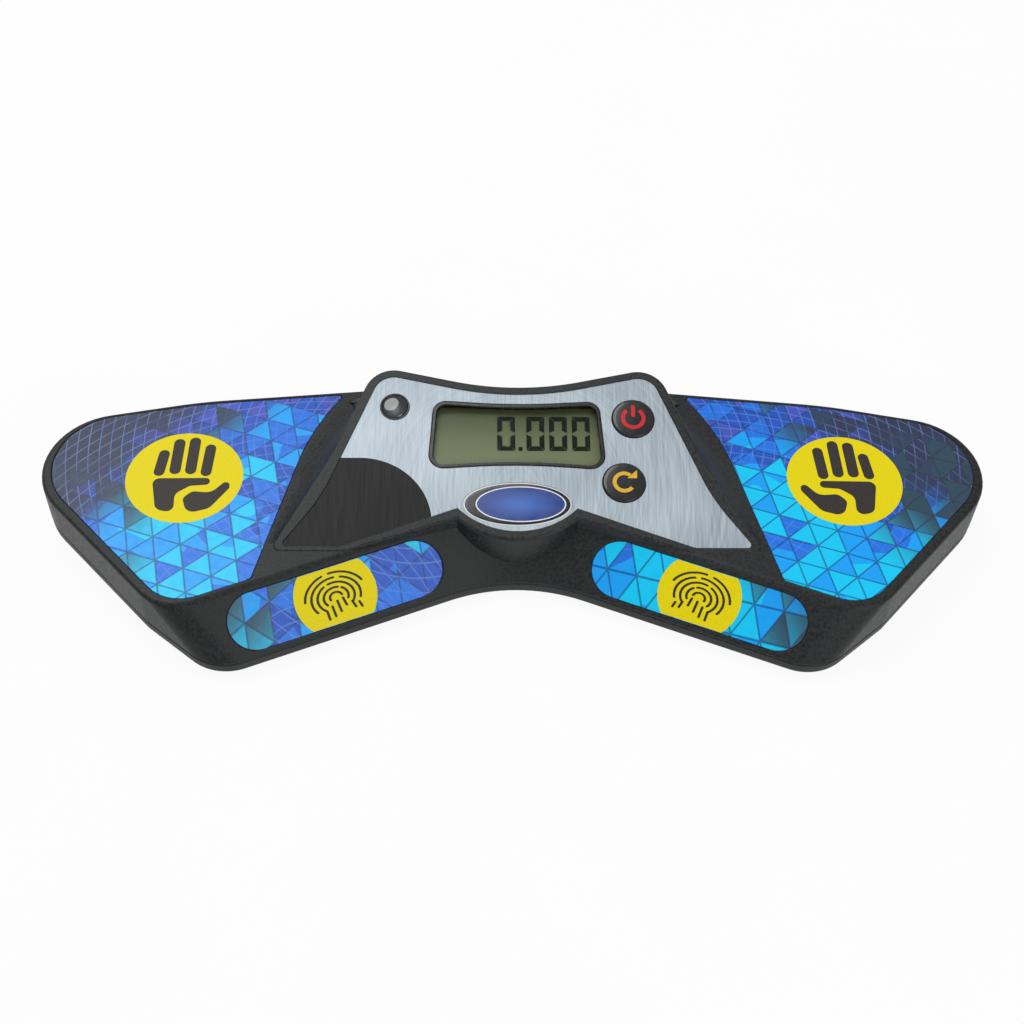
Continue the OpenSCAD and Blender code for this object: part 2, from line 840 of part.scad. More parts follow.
module lcd_bezel() {
  color("#141617")
    on_fascia(0, 0, -ceiling)
      difference() {
        linear_extrude(ceiling - 0.2)
          lcd_shape(0.05);
        translate([0, 0, -1])
          linear_extrude(8)
            lcd_shape(lcd_edge);
        translate([0, 0, -1])
          linear_extrude(1 + ceiling - window_top)
            lcd_shape(0.7);
      }
}

module lcd_window() {
  color("#8f9a86", 0.5)
    on_fascia(0, 0, -window_top - window_t)
      linear_extrude(window_t)
        lcd_shape(0.75);
}

module glass_block(d, w0, w1) {
  on_fascia(-glass_x - d, glass_low_v - d, w0)
    cube([2 * (glass_x + d), glass_high_v - glass_low_v + 2 * d, w1 - w0]);
}

module lcd_panel() {
  color("#66704f")
    glass_block(0, -glass_top - glass_t, -glass_top);
}

// Frame on the board that carries the glass on an inner ledge
module lcd_holder() {
  color("#2b2d2e")
    difference() {
      glass_block(holder_w, -board_depth, -glass_top - 1.3);
      glass_block(0.1, -glass_top - glass_t, -glass_top);
      glass_block(-2.4, -board_depth - 1, -glass_top);
      // slots of the two connector strips
      for (v = [glass_low_v + 0.5, glass_high_v - 2.5])
        on_fascia(-22, v, -board_depth - 1)
          cube([44, 2, board_depth - glass_top]);
    }
}

module lcd_connector() {
  color("#d9d3c6")
    for (v = [glass_low_v + 0.6, glass_high_v - 2.4])
      on_fascia(-21.8, v, -board_depth)
        cube([43.6, 1.8, board_depth - glass_top - glass_t]);
}

// --- buttons ----------------------------------------------------------------------------
// A cap with a softly rounded face, a flange under the skin and a stem to its switch
module button_cap() {
  flange_top = -ceiling - 0.2;
  stem_end = plunger_out + switch_h - board_depth + 0.05;
  rotate_extrude()
    polygon([
      [0, stem_end],
      [plunger_r, stem_end],
      [plunger_r, flange_top - flange_t],
      [button_r + flange_w, flange_top - flange_t],
      [button_r + flange_w, flange_top],
      [button_r, flange_top],
      [button_r, -0.25],
      [button_r - 0.15, 0.05],
      [button_r - 0.5, 0.2],
      [button_r / 2, 0.35],
      [0, 0.4]
    ]);
}

module plunger() {
  translate([0, 0, plunger_out + switch_h - board_depth - 2])
    cylinder(r = plunger_r, h = 2);
}

module tact_switch() {
  difference() {
    translate([-switch_side / 2, -switch_side / 2, -board_depth])
      cube([switch_side, switch_side, switch_h]);
    translate([0, 0, switch_h - board_depth - 2.2])
      cylinder(r = plunger_r + 0.06, h = 4);
  }
}

module power_button() {
  color("#141414")
    on_fascia(power_x, power_v)
      button_cap();
}

module reset_button() {
  color("#141414")
    on_fascia(reset_x, reset_v)
      button_cap();
}

module power_plunger() {
  color("#c9c9c4")
    on_fascia(power_x, power_v)
      plunger();
}

module reset_plunger() {
  color("#c9c9c4")
    on_fascia(reset_x, reset_v)
      plunger();
}

module power_switch() {
  color("#1c1c1c")
    on_fascia(power_x, power_v)
      tact_switch();
}

module reset_switch() {
  color("#1c1c1c")
    on_fascia(reset_x, reset_v)
      tact_switch();
}

// Domed lens with a flange under the skin and a well over its light
module status_lens() {
  color("#30343c")
    on_fascia(-lens_x, lens_v)
      difference() {
        rotate_extrude()
          polygon(concat(
            [[0, -ceiling - 0.9], [lens_r + 0.8, -ceiling - 0.9], [lens_r + 0.8, -ceiling - 0.05],
             [lens_r, -ceiling - 0.05]],
            [for (a = [0:15:90]) [lens_r * cos(a), 0.9 * sin(a) - 0.2]]
          ));
        translate([0, 0, -ceiling - 2])
          cylinder(r = led_r + 0.3, h = 3);
      }
}

module status_led() {
  color("#c8d0d8")
    on_fascia(-lens_x, lens_v, -board_depth)
      rotate_extrude()
        polygon(concat(
          [[0, 0], [led_r + 0.3, 0], [led_r + 0.3, 0.9], [led_r, 0.9]],
          [for (a = [0:18:90]) [led_r * cos(a), 3.4 + led_r * sin(a)]]
        ));
}

// --- board ------------------------------------------------------------------------------
module main_board() {
  color("#1d6b3c")
    difference() {
      on_fascia(-board_x, board_low_v, -board_depth - board_t)
        cube([2 * board_x, board_high_v - board_low_v, board_t]);
      for (p = board_screw_at)
        on_fascia(p.x, p.y, -board_depth - 3)
          cylinder(r = 1.1, h = 6);
    }
}

module controller_chip() {
  color("#202224")
    on_fascia(-5, 16, -board_depth)
      cube([10, 10, 1.4]);
}

module board_screws() {
  color("#b8babc")
    for (p = board_screw_at)
      on_fascia(p.x, p.y, -board_depth - board_t) {
        translate([0, 0, -1.2])
          cylinder(r = 1.7, h = 1.2);
        cylinder(r = 0.9, h = board_t + 4);
      }
}

// --- pads and their sensors ---------------------------------------------------------------
module palm_pad(side) {
  mirror([side < 0 ? 1 : 0, 0, 0])
    translate([0, 0, wing_z - pad_sink])
      linear_extrude(pad_t)
        palm_shape(pad_gap);
}

module finger_pad(side) {
  on_band(side)
    translate([0, 0, -pad_sink])
      linear_extrude(pad_t)
        finger_shape(pad_gap);
}

// Thin disc under the wing top
module palm_sensor(side) {
  sensor_t = 0.4;
  translate([side * sensor_x, tip_y - 4, room_top - sensor_t])
    cylinder(r = sensor_r, h = sensor_t);
}

module finger_sensor(side) {
  sensor_t = 0.4;
  on_band(side)
    translate([0, 0, -wall * sin(band_slope) - sensor_t])
      linear_extrude(sensor_t)
        finger_shape(3.5);
}

module left_palm_pad() {
  color("#2a71d9")
    palm_pad(-1);
}

module right_palm_pad() {
  color("#2a71d9")
    palm_pad(1);
}

module left_finger_pad() {
  color("#2a71d9")
    finger_pad(-1);
}

module right_finger_pad() {
  color("#2a71d9")
    finger_pad(1);
}

module left_palm_sensor() {
  color("#b87333")
    palm_sensor(-1);
}

module right_palm_sensor() {
  color("#b87333")
    palm_sensor(1);
}

module left_finger_sensor() {
  color("#b87333")
    finger_sensor(-1);
}

module right_finger_sensor() {
  color("#b87333")
    finger_sensor(1);
}

// --- data jack ----------------------------------------------------------------------------
module data_jack() {
  color("#1b1b1b")
    translate([0, jack_y, jack_z])
      difference() {
        union() {
          rotate([90, 0, 0])
            cylinder(r = jack_nose_r, h = 4);
          translate([-jack_body.x / 2, -jack_body.y - 2.4, -jack_body.z / 2])
            cube(jack_body);
        }
        translate([0, 1, 0])
          rotate([90, 0, 0])
            cylinder(r = jack_r, h = jack_len + 1);
      }
}

// --- batteries ----------------------------------------------------------------------------
// One cell along X, its button towards +X for way 1
module cell(way) {
  nub = 1.2;
  mirror([way < 0 ? 1 : 0, 0, 0])
    translate([bay_x - 0.5 - cell_len, 0, 0])
      rotate([0, 90, 0]) {
        cylinder(r = cell_r, h = cell_len - nub);
        cylinder(r = 1.9, h = cell_len);
      }
}

module battery_front() {
  color("#c7b27a")
    translate([0, bay_y - cell_pitch / 2, cell_z])
      cell(1);
}

module battery_rear() {
  color("#c7b27a")
    translate([0, bay_y + cell_pitch / 2, cell_z])
      cell(-1);
}

// Hollow cones of the two contact springs, each between its plate and a cell's flat end
module battery_springs() {
  color("#cfd2d4")
    for (way = [-1, 1])
      translate([-way * (bay_x - 0.4), bay_y - way * cell_pitch / 2, cell_z])
        rotate([0, way * 90, 0])
          rotate_extrude()
            polygon([[2.2, 0], [3.6, 0], [2.3, 4.2], [1.3, 4.2]]);
}

module battery_plates() {
  color("#cfd2d4")
    for (way = [-1, 1], row = [-1, 1])
      translate([way > 0 ? bay_x - 0.4 : -bay_x, bay_y + row * cell_pitch / 2 - 4.5, cell_z - 4.5])
        cube([0.4, 9, 9]);
}

// Door with a rounded hinge edge, two pins, a latch tab and grip ribs
module battery_door() {
  color("#3a3d3f")
    difference() {
      union() {
        translate([-door_x, pin_y, base_z])
          cube([2 * door_x, door_rear - pin_y, door_t]);
        translate([-door_x, pin_y, pin_z])
          rotate([0, 90, 0])
            cylinder(r = barrel_r, h = 2 * door_x);
        translate([-door_x - pin_len, pin_y, pin_z])
          rotate([0, 90, 0])
            cylinder(r = pin_r, h = 2 * (door_x + pin_len));
        translate([-5, bay_y + bay_half_y - 1.2, base_z + door_t - 0.5])
          cube([10, 0.8, 2.1]);
      }
      // grip grooves near the latch
      for (k = [0:3])
        translate([-8, door_rear - 4 - 1.8 * k, base_z - 1])
          cube([16, 0.8, 1.4]);
    }
}

// --- fasteners and feet -------------------------------------------------------------------
module case_screws() {
  color("#8f9295")
    each_side()
      for (p = screw_at)
        translate([p.x, p.y, screw_z - 1.5]) {
          difference() {
            cylinder(r = head_r, h = 1.5);
            translate([-head_r, -0.35, -1])
              cube([2 * head_r, 0.7, 1.7]);
            translate([-0.35, -head_r, -1])
              cube([0.7, 2 * head_r, 1.7]);
          }
          translate([0, 0, 1])
            cylinder(r = screw_r, h = shank_top - screw_z + 0.5);
        }
}

module rubber_feet() {
  color("#1a1a1a")
    each_side()
      for (p = foot_at)
        translate([p.x, p.y, 0])
          rotate_extrude()
            polygon([
              [0, 0],
              [foot_r - 0.6, 0],
              [foot_r - 0.2, 0.25],
              [foot_r, foot_h],
              [foot_r, base_z + foot_seat],
              [0, base_z + foot_seat]
            ]);
}

upper_case();
console_shell();
lower_case();
fascia_label();
badge_plate();
lcd_bezel();
lcd_window();
lcd_panel();
lcd_holder();
lcd_connector();
power_button();
reset_button();
power_plunger();
reset_plunger();
power_switch();
reset_switch();
status_lens();
status_led();
main_board();
controller_chip();
board_screws();
left_palm_pad();
right_palm_pad();
left_finger_pad();
right_finger_pad();
left_palm_sensor();
right_palm_sensor();
left_finger_sensor();
right_finger_sensor();
data_jack();
battery_front();
battery_rear();
battery_springs();
battery_plates();
battery_door();
case_screws();
rubber_feet();
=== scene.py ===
import math
from functools import partialmethod

import bmesh
import bpy
from bpy.props import FloatProperty, IntProperty, PointerProperty, StringProperty
from mathutils import Matrix, Vector


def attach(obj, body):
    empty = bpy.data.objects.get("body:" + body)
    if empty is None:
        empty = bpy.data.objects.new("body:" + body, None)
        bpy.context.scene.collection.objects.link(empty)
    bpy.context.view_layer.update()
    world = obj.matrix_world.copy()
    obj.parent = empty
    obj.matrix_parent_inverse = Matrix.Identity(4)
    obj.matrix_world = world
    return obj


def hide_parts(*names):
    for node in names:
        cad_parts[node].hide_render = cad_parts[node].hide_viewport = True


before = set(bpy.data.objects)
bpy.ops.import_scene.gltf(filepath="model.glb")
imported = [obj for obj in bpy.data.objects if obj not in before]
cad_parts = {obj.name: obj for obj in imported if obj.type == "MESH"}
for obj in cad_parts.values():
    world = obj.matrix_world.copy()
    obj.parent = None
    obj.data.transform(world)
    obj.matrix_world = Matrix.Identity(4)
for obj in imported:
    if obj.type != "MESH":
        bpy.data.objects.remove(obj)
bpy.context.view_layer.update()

bl_info = {
    "name": "Cube timer dresser",
    "version": (1, 0, 0),
    "blender": (4, 5, 0),
    "location": "View3D > Sidebar > Timer",
    "description": "Builds the shells, pads, fascia and inner parts of a touch timer on its packed frame",
    "category": "Object",
}

MM = 0.001

# Case outline and heights, in millimetres as in the part's source
TIP_R, SIDE_ANGLE, REAR_ANGLE, SWEEP = 22.5, -42.4, 78.0, 22.4
HALF_W, DEPTH = 146.0, 97.0
SIDE_RUN, REAR_RUN, NOTCH_R, CORNER_GAP = 44.5, 68.1, 53, 37.8
TIP = Vector((HALF_W - TIP_R, 15.1))
FRONT_R = 15.5
FRONT = Vector((TIP.x - CORNER_GAP, FRONT_R - DEPTH / 2))
BASE_Z, PART_Z, WING_Z = 1.0, 5.5, 19.7
BAND_RUN, UPPER_H = 16.3, 14.2
WALL, RIDGE_R = 2.4, 1.2
PAD_SINK, PAD_T, PAD_GAP = 0.7, 0.5, 0.1
ROOM_TOP = WING_Z - 2.2 - PAD_SINK
SLOPE = math.degrees(math.atan2(UPPER_H, BAND_RUN))
FRONT_NORMAL = -90 - SWEEP
# Console and what lies under its fascia, depths measured below the fascia plane
TILT, FASCIA_Z, LABEL_SINK, CEILING = 14.2, 24.3, 0.8, 2.8
TONGUE_R, TONGUE_Y, LABEL_V, RIM_W = 27.8, 14.0, 14.2, 2.3
BADGE_A, BADGE_B, BADGE_V = 16.5, 7.3, -2.3
POWER, RESET, LENS = (36.1, 27.0), (32.5, 5.0), (-37.7, 30.8)
BUTTON_R, BUTTON_GAP, LENS_R = 6.5, 0.25, 3.9
BOARD_DEPTH = 8.5
JACK_Z, POST_R, SCREW_R = 9.3, 3.2, 1.5
BAY_X, BAY_Y, BAY_HALF, CELL_Z = 24.85, 19.6, 11.5, 8.25
MAT_SOCKET, MAT_BOSS_R, MAT_BORE_R = (62, -22), 5.6, 4
DOOR_HALF, PIN_HALF, PIN_R, PIN_Z = 26.45, 27.95, 0.61, 1.85
BOARD_POSTS, BOARD_POST_R, PILOT_R = ((39.5, 15.5), (-39.5, 15.5), (14, 1.5), (-14, 1.5)), 2.4, 0.95
DIGIT_V, DIGITS_X = 17.1, (-6.0, 3.05, 10.1, 17.2)
FINGER_W, FINGER_IN, FINGER_OUT = 17.4, 21.4, 88.2
FINGER_V = math.hypot(BAND_RUN, UPPER_H) / 2 - 0.3
DISC_X, DISC_Y = 102.0, 11.2
MARK_X = 55.15
PLATE_HOLE = 0.1
TRIM = 0.9998


# --- plane geometry -----------------------------------------------------------------------
def direction(angle):
    return Vector((math.cos(math.radians(angle)), math.sin(math.radians(angle))))


def meet(p, a, q, b):
    """Where the line through p with normal angle a crosses the line through q with angle b."""
    a, b = math.radians(a), math.radians(b)
    d = math.sin(b - a)
    s = p[0] * math.cos(a) + p[1] * math.sin(a)
    t = q[0] * math.cos(b) + q[1] * math.sin(b)
    return Vector(((s * math.sin(b) - t * math.sin(a)) / d, (t * math.cos(a) - s * math.cos(b)) / d))


def corner(c, r, a, b):
    return meet(c + r * direction(a), a, c + r * direction(b), b)


def aim(c, r, p):
    d = Vector(p) - Vector(c)
    return math.degrees(math.atan2(d.y, d.x) - math.acos(r / d.length))


def both(right):
    """A whole outline from its right half, whose end corners may lie on the centre line."""
    return right + [(-x, y, r) for x, y, r in reversed(right) if abs(x) > 0.01]


def turn(a, b, c):
    return math.copysign(1, (b[0] - a[0]) * (c[1] - b[1]) - (b[1] - a[1]) * (c[0] - b[0]))


def rounded(corners, steps=None):
    """Points of an outline of corners (x, y, radius), every corner rounded by an arc."""
    steps = steps or bpy.context.scene.timer_shape.arc_steps
    points = []
    n = len(corners)
    for i in range(n):
        a, b, c = corners[i - 1], corners[i], corners[(i + 1) % n]
        p = Vector(b[:2])
        u = (Vector(a[:2]) - p).normalized()
        v = (Vector(c[:2]) - p).normalized()
        half = math.acos(max(-1, min(1, u.dot(v)))) / 2
        m = p + (u + v).normalized() * b[2] / math.sin(half)
        start = p + u * b[2] / math.tan(half) - m
        sweep = turn(a, b, c) * (math.pi - 2 * half)
        for k in range(steps + 1):
            t = sweep * k / steps
            points.append(m + Vector((start.x * math.cos(t) - start.y * math.sin(t),
                                      start.x * math.sin(t) + start.y * math.cos(t))))
    return points


def inset(corners, d):
    """The same corners moved in by d, so that the rounded outlines are parallel."""
    moved = []
    n = len(corners)
    for i in range(n):
        a, b, c = corners[i - 1], corners[i], corners[(i + 1) % n]
        e = (Vector(b[:2]) - Vector(a[:2])).normalized()
        f = (Vector(c[:2]) - Vector(b[:2])).normalized()
        g, h = Vector((-e.y, e.x)), Vector((-f.y, f.x))
        m = (g + h) * d / (1 + g.dot(h))
        moved.append((b[0] + m.x, b[1] + m.y, max(0.3, b[2] - d * turn(a, b, c))))
    return moved


def soften(corners, r):
    return [(x, y, max(r, q)) for x, y, q in corners]


def mix(a, b, t):
    return [tuple(u + (v - u) * t for u, v in zip(p, q)) for p, q in zip(a, b)]


def ellipse(a, b, at=(0, 0), steps=96):
    return [Vector((at[0] + a * math.cos(math.tau * k / steps), at[1] + b * math.sin(math.tau * k / steps)))
            for k in range(steps)]


def circle(r, at=(0, 0), steps=96):
    return ellipse(r, r, at, steps)


def oblong(x0, x1, y0, y1):
    return [Vector((x0, y0)), Vector((x1, y0)), Vector((x1, y1)), Vector((x0, y1))]


def polar(r, angle):
    return r * Vector((math.cos(angle), math.sin(angle)))


def quarter(steps, first=0):
    """How far a quarter round has come in and up, as shares of its radius."""
    angles = [math.radians(90 * k / steps) for k in range(first, steps + 1)]
    return [(1 - math.cos(a), math.sin(a)) for a in angles]


def capsule(p, q, r, steps=10):
    """A rounded bar from p to q with the radius r."""
    p, q = Vector(p), Vector(q)
    start = math.atan2(q.y - p.y, q.x - p.x)
    ends = [(q, start - math.pi / 2), (p, start + math.pi / 2)]
    return [c + polar(r, a + math.pi * k / steps) for c, a in ends for k in range(steps + 1)]


def arc_band(r, width, start, end, steps=40):
    """A band along an arc, with round ends, angles in degrees."""
    a, b = math.radians(start), math.radians(end)
    outer = [polar(r + width / 2, a + (b - a) * k / steps) for k in range(steps + 1)]
    inner = [polar(r - width / 2, b + (a - b) * k / steps) for k in range(steps + 1)]
    cap_b = [polar(r, b) + polar(width / 2, b + math.pi * k / 8) for k in range(1, 8)]
    cap_a = [polar(r, a) + polar(width / 2, a + math.pi * (1 + k / 8)) for k in range(1, 8)]
    return outer + cap_b + inner + cap_a


# Corners of the case outline: notch, front corner, side knee, tip, rear knee, back
SIDE_POINT = TIP + TIP_R * direction(SIDE_ANGLE) + SIDE_RUN * direction(SIDE_ANGLE - 90)
FRONT_CORNER = corner(FRONT, FRONT_R, FRONT_NORMAL, aim(FRONT, FRONT_R, SIDE_POINT))
TIP_CORNER = corner(TIP, TIP_R, SIDE_ANGLE, REAR_ANGLE)
REAR_KNEE = TIP_CORNER + REAR_RUN * direction(REAR_ANGLE + 90)
NOTCH = meet(FRONT_CORNER, FRONT_NORMAL, (0, 0), 0)
RIDGE_NOTCH = NOTCH + Vector((0, BAND_RUN / math.cos(math.radians(SWEEP))))
RIDGE_CORNER = meet(FRONT_CORNER, aim(FRONT, FRONT_R, SIDE_POINT), RIDGE_NOTCH, FRONT_NORMAL)
BASE_RIGHT = [(0, NOTCH.y, NOTCH_R), (FRONT_CORNER.x, FRONT_CORNER.y, FRONT_R), (SIDE_POINT.x, SIDE_POINT.y, 13),
              (TIP_CORNER.x, TIP_CORNER.y, TIP_R), (REAR_KNEE.x, REAR_KNEE.y, 150), (46, DEPTH / 2, 60)]
RIDGE_RIGHT = [(0, RIDGE_NOTCH.y, NOTCH_R + BAND_RUN), (RIDGE_CORNER.x, RIDGE_CORNER.y, 13.8)] + BASE_RIGHT[2:]
RIM_RIGHT = [(0, -1.2, 30), (52, -17.8, 6), (74.3, -17.8, 2.2), (56.6, 14.2, 60), (43.8, 44, 9.5), (0, 34.8, 95)]
FOOT_RIGHT = [(0, -1.2, 30), (52, -17.8, 6), (76.1, -17.8, 2.2), (63.7, 31, 92), (51.5, DEPTH / 2 - 3.6, 6),
              (0, DEPTH / 2 - 4, 95)]
LABEL_RIGHT = [(0, 3, 20), (53, -16.6, 4), (71.2, -16.6, 1.2), (59.3, -0.2, 60), (42.1, 42.4, 6.5), (0, 33.2, 95)]
LCD_RIGHT = [(0, 11.2, 200), (27.4, 9.3, 4.6), (25.7, 33.2, 4.2), (0, 31.6, 200)]
SCREWS = [(TIP.x + 2.5, TIP.y - 1), (FRONT.x + 2, FRONT.y + 7), (70.5, 36)]
FEET = [(TIP.x - 12, TIP.y - 4), (FRONT.x - 9, FRONT.y + 0.5), (43, 40)]


def palm_corners():
    """Corners of the right palm pad's recess."""
    side_p = SIDE_POINT - 3.2 * direction(SIDE_ANGLE)
    front_p = RIDGE_NOTCH - 1.5 * direction(FRONT_NORMAL)
    front = meet(side_p, SIDE_ANGLE, front_p, FRONT_NORMAL)
    tip = TIP + Vector((-1, 1.1))
    inner_x, rear_x = 78.5, 54.6
    tip_r = TIP_R - 1.7
    tip_corner = meet(side_p, SIDE_ANGLE, tip + tip_r * direction(REAR_ANGLE), REAR_ANGLE)
    knee = REAR_KNEE - 1.5 * direction(REAR_ANGLE + 3)
    inner = meet(front_p, FRONT_NORMAL, (inner_x, 0), 0)
    return [(inner_x, inner.y, 1.2), (front.x, front.y, 13), (tip_corner.x, tip_corner.y, tip_r),
            (knee.x, knee.y, 150), (rear_x, knee.y + (knee.x - rear_x) * 0.1, 1), (64.4, 31, 80)]


def finger_outline(d=0.0):
    """Outline of a finger pad in its band's own plane."""
    r = FINGER_W / 2 - d
    return capsule((FINGER_IN + FINGER_W / 2, FINGER_V), (FINGER_OUT - FINGER_W / 2, FINGER_V), r, 24)


def case_corners(z):
    return both(mix(BASE_RIGHT, RIDGE_RIGHT, (z - PART_Z) / UPPER_H))


# --- places -------------------------------------------------------------------------------
def spun(angle, axis):
    return Matrix.Rotation(math.radians(angle), 4, axis)


def fascia_place(x=0.0, v=0.0, w=0.0):
    """Matrix of the fascia's own frame: x, up the slope, out of the plane."""
    return Matrix.Translation((0, 0, FASCIA_Z)) @ spun(TILT, "X") @ Matrix.Translation((x, v, w))


def band_place(side):
    """Matrix of a front band's frame: x outwards along it, y up its slope, z out of its face."""
    return side_place(side) @ Matrix.Translation((0, NOTCH.y, PART_Z)) @ spun(-SWEEP, "Z") @ spun(SLOPE, "X")


def side_place(side):
    return Matrix.Diagonal((side, 1, 1, 1))


# --- meshes -------------------------------------------------------------------------------
def blank(name, bm, place=None):
    """A linked object made of a bmesh, still in millimetres, ready for its cuts."""
    if place:
        bm.transform(place)
    bmesh.ops.recalc_face_normals(bm, faces=bm.faces)
    mesh = bpy.data.meshes.new(name)
    bm.to_mesh(mesh)
    bm.free()
    obj = bpy.data.objects.new(name, mesh)
    bpy.context.scene.collection.objects.link(obj)
    return obj


def seat(obj, place=None):
    """Bake an object's place and the change to metres into its mesh."""
    obj.data.transform(Matrix.Scale(MM, 4) @ (place or Matrix()))
    return obj


def piece(name, bm, place=None):
    """A finished blank, seated at once."""
    return seat(blank(name, bm), place)


def melt(obj):
    """The bmesh of a helper object, which is dropped."""
    bm = bmesh.new()
    bm.from_mesh(obj.data)
    bpy.data.objects.remove(obj, do_unlink=True)
    return bm


def loft(rings, bm=None):
    """A closed skin through matching rings of 3-D points, capped at both ends."""
    bm = bm or bmesh.new()
    rows = [[bm.verts.new(p) for p in ring] for ring in rings]
    n = len(rows[0])
    for low, high in zip(rows, rows[1:]):
        for i in range(n):
            bm.faces.new((low[i], low[(i + 1) % n], high[(i + 1) % n], high[i]))
    bm.faces.new(list(reversed(rows[0])))
    bm.faces.new(rows[-1])
    return bm


def raised(outline, z):
    return [Vector((p[0], p[1], z)) for p in outline]


def stack(corners, *steps):
    """Rings of an outline's corners, one for each (inset, height)."""
    return [raised(rounded(inset(corners, d)), z) for d, z in steps]


def slab(outline, low, high, bm=None):
    return loft([raised(outline, low), raised(outline, high)], bm)


def spin(profile, steps=96, bm=None):
    """A closed body of revolution about Z from (radius, height) points that start and end on the axis."""
    bm = bm or bmesh.new()
    rows = []
    for r, z in profile:
        if r < 1e-6:
            rows.append([bm.verts.new((0, 0, z))])
        else:
            rows.append([bm.verts.new((p.x, p.y, z)) for p in circle(r, steps=steps)])
    for low, high in zip(rows, rows[1:]):
        for i in range(steps):
            j = (i + 1) % steps
            ring = [low[i % len(low)], low[j % len(low)], high[j % len(high)], high[i % len(high)]]
            unique = list(dict.fromkeys(ring))
            if len(unique) > 2:
                bm.faces.new(unique)
    return bm


def carve(obj, bm, place=None, operation="DIFFERENCE"):
    """Cut a bmesh out of an object, or join it, and drop the cutter."""
    tool = blank("cutter", bm, place)
    step = obj.modifiers.new("step", "BOOLEAN")
    step.solver = "EXACT"
    step.operation = operation
    step.object = tool
    graph = bpy.context.evaluated_depsgraph_get()
    done = bpy.data.meshes.new_from_object(obj.evaluated_get(graph))
    obj.modifiers.clear()
    old = obj.data
    obj.data = done
    bpy.data.meshes.remove(old)
    bpy.data.objects.remove(tool, do_unlink=True)
    if not done.polygons:
        raise RuntimeError(obj.name + " vanished in a cut")


def shade(obj, angle=32.0, weighted=True):
    """Smooth shading that keeps edges sharper than the angle."""
    bm = bmesh.new()
    bm.from_mesh(obj.data)
    bmesh.ops.remove_doubles(bm, verts=bm.verts, dist=2e-7)
    bmesh.ops.dissolve_degenerate(bm, edges=bm.edges, dist=1e-7)
    bm.to_mesh(obj.data)
    bm.free()
    obj.data.polygons.foreach_set("use_smooth", [True] * len(obj.data.polygons))
    obj.data.set_sharp_from_angle(angle=math.radians(angle))
    if weighted:
        soft = obj.modifiers.new("even shading", "WEIGHTED_NORMAL")
        soft.keep_sharp = True
        soft.weight = 100


def settle(obj, body, look, replaced=()):
    """Give a finished piece its material and body, and hide the nodes it stands for."""
    obj.data.materials.clear()
    obj.data.materials.append(finish(look))
    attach(obj, body)
    if replaced:
        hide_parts(*replaced)


def finished(obj, place, body, look, replaced=(), angle=32.0):
    """Seat, shade and settle a blank."""
    shade(seat(obj, place), angle)
    settle(obj, body, look, replaced)


def dress(node, look):
    """Give a CAD node a procedural material in each of its slots."""
    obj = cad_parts[node]
    material = finish(look)
    if not obj.material_slots:
        obj.data.materials.append(material)
    for place in obj.material_slots:
        place.material = material


def skin_copy(name, node, width, look, body="case"):
    """A copy of a CAD node with merged corners, a fine bevel and smooth shading, in its place."""
    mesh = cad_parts[node].data.copy()
    bm = bmesh.new()
    bm.from_mesh(mesh)
    bmesh.ops.remove_doubles(bm, verts=bm.verts, dist=1e-6)
    bmesh.ops.dissolve_limit(bm, angle_limit=math.radians(1), verts=bm.verts, edges=bm.edges)
    bmesh.ops.recalc_face_normals(bm, faces=bm.faces)
    for face in bm.faces:
        face.smooth = True
    for edge in bm.edges:
        edge.smooth = not (len(edge.link_faces) == 2 and edge.calc_face_angle(0) > math.radians(32))
    bm.to_mesh(mesh)
    bm.free()
    mesh.name = name
    obj = bpy.data.objects.new(name, mesh)
    bpy.context.scene.collection.objects.link(obj)
    bevel = obj.modifiers.new("worn edge", "BEVEL")
    bevel.width = width * MM
    bevel.segments = 2
    bevel.limit_method = "ANGLE"
    bevel.angle_limit = math.radians(32)
    bevel.harden_normals = True
    settle(obj, body, look, (node,))


# --- materials ----------------------------------------------------------------------------
def linear(code):
    """An sRGB hex colour as linear RGBA."""
    parts = [int(code.lstrip("#")[k:k + 2], 16) / 255 for k in (0, 2, 4)]
    return [c / 12.92 if c <= 0.04045 else ((c + 0.055) / 1.055) ** 2.4 for c in parts] + [1.0]


def fill(tree, node, inputs):
    """Link or set a node's inputs."""
    for name, value in inputs.items():
        value = getattr(value, "socket", value)
        if isinstance(value, bpy.types.NodeSocket):
            tree.links.new(value, node.inputs[name])
        else:
            node.inputs[name].default_value = value
    return node


def add(tree, kind, inputs=None, **settings):
    """Add a node to a tree with its settings, and fill or link its inputs."""
    made = tree.nodes.new(kind)
    for name, value in settings.items():
        setattr(made, name, value)
    return fill(tree, made, inputs or {})


class Value:
    """A socket that takes part in arithmetic, where each step adds a math node."""

    def __init__(self, tree, socket):
        self.tree, self.socket = tree, socket

    def step(self, operation, other=0.0, swapped=False):
        pair = {0: other, 1: self} if swapped else {0: self, 1: other}
        return Value(self.tree, add(self.tree, "ShaderNodeMath", pair, operation=operation).outputs[0])

    def __abs__(self):
        return self.step("ABSOLUTE")

    def __rsub__(self, other):
        return self.step("SUBTRACT", other, True)


for method, operation in (("add", "ADD"), ("sub", "SUBTRACT"), ("mul", "MULTIPLY"), ("truediv", "DIVIDE"),
                          ("lt", "LESS_THAN"), ("gt", "GREATER_THAN")):
    setattr(Value, f"__{method}__", partialmethod(Value.step, operation))


def distance(x, y):
    return (x * x + y * y).step("SQRT")


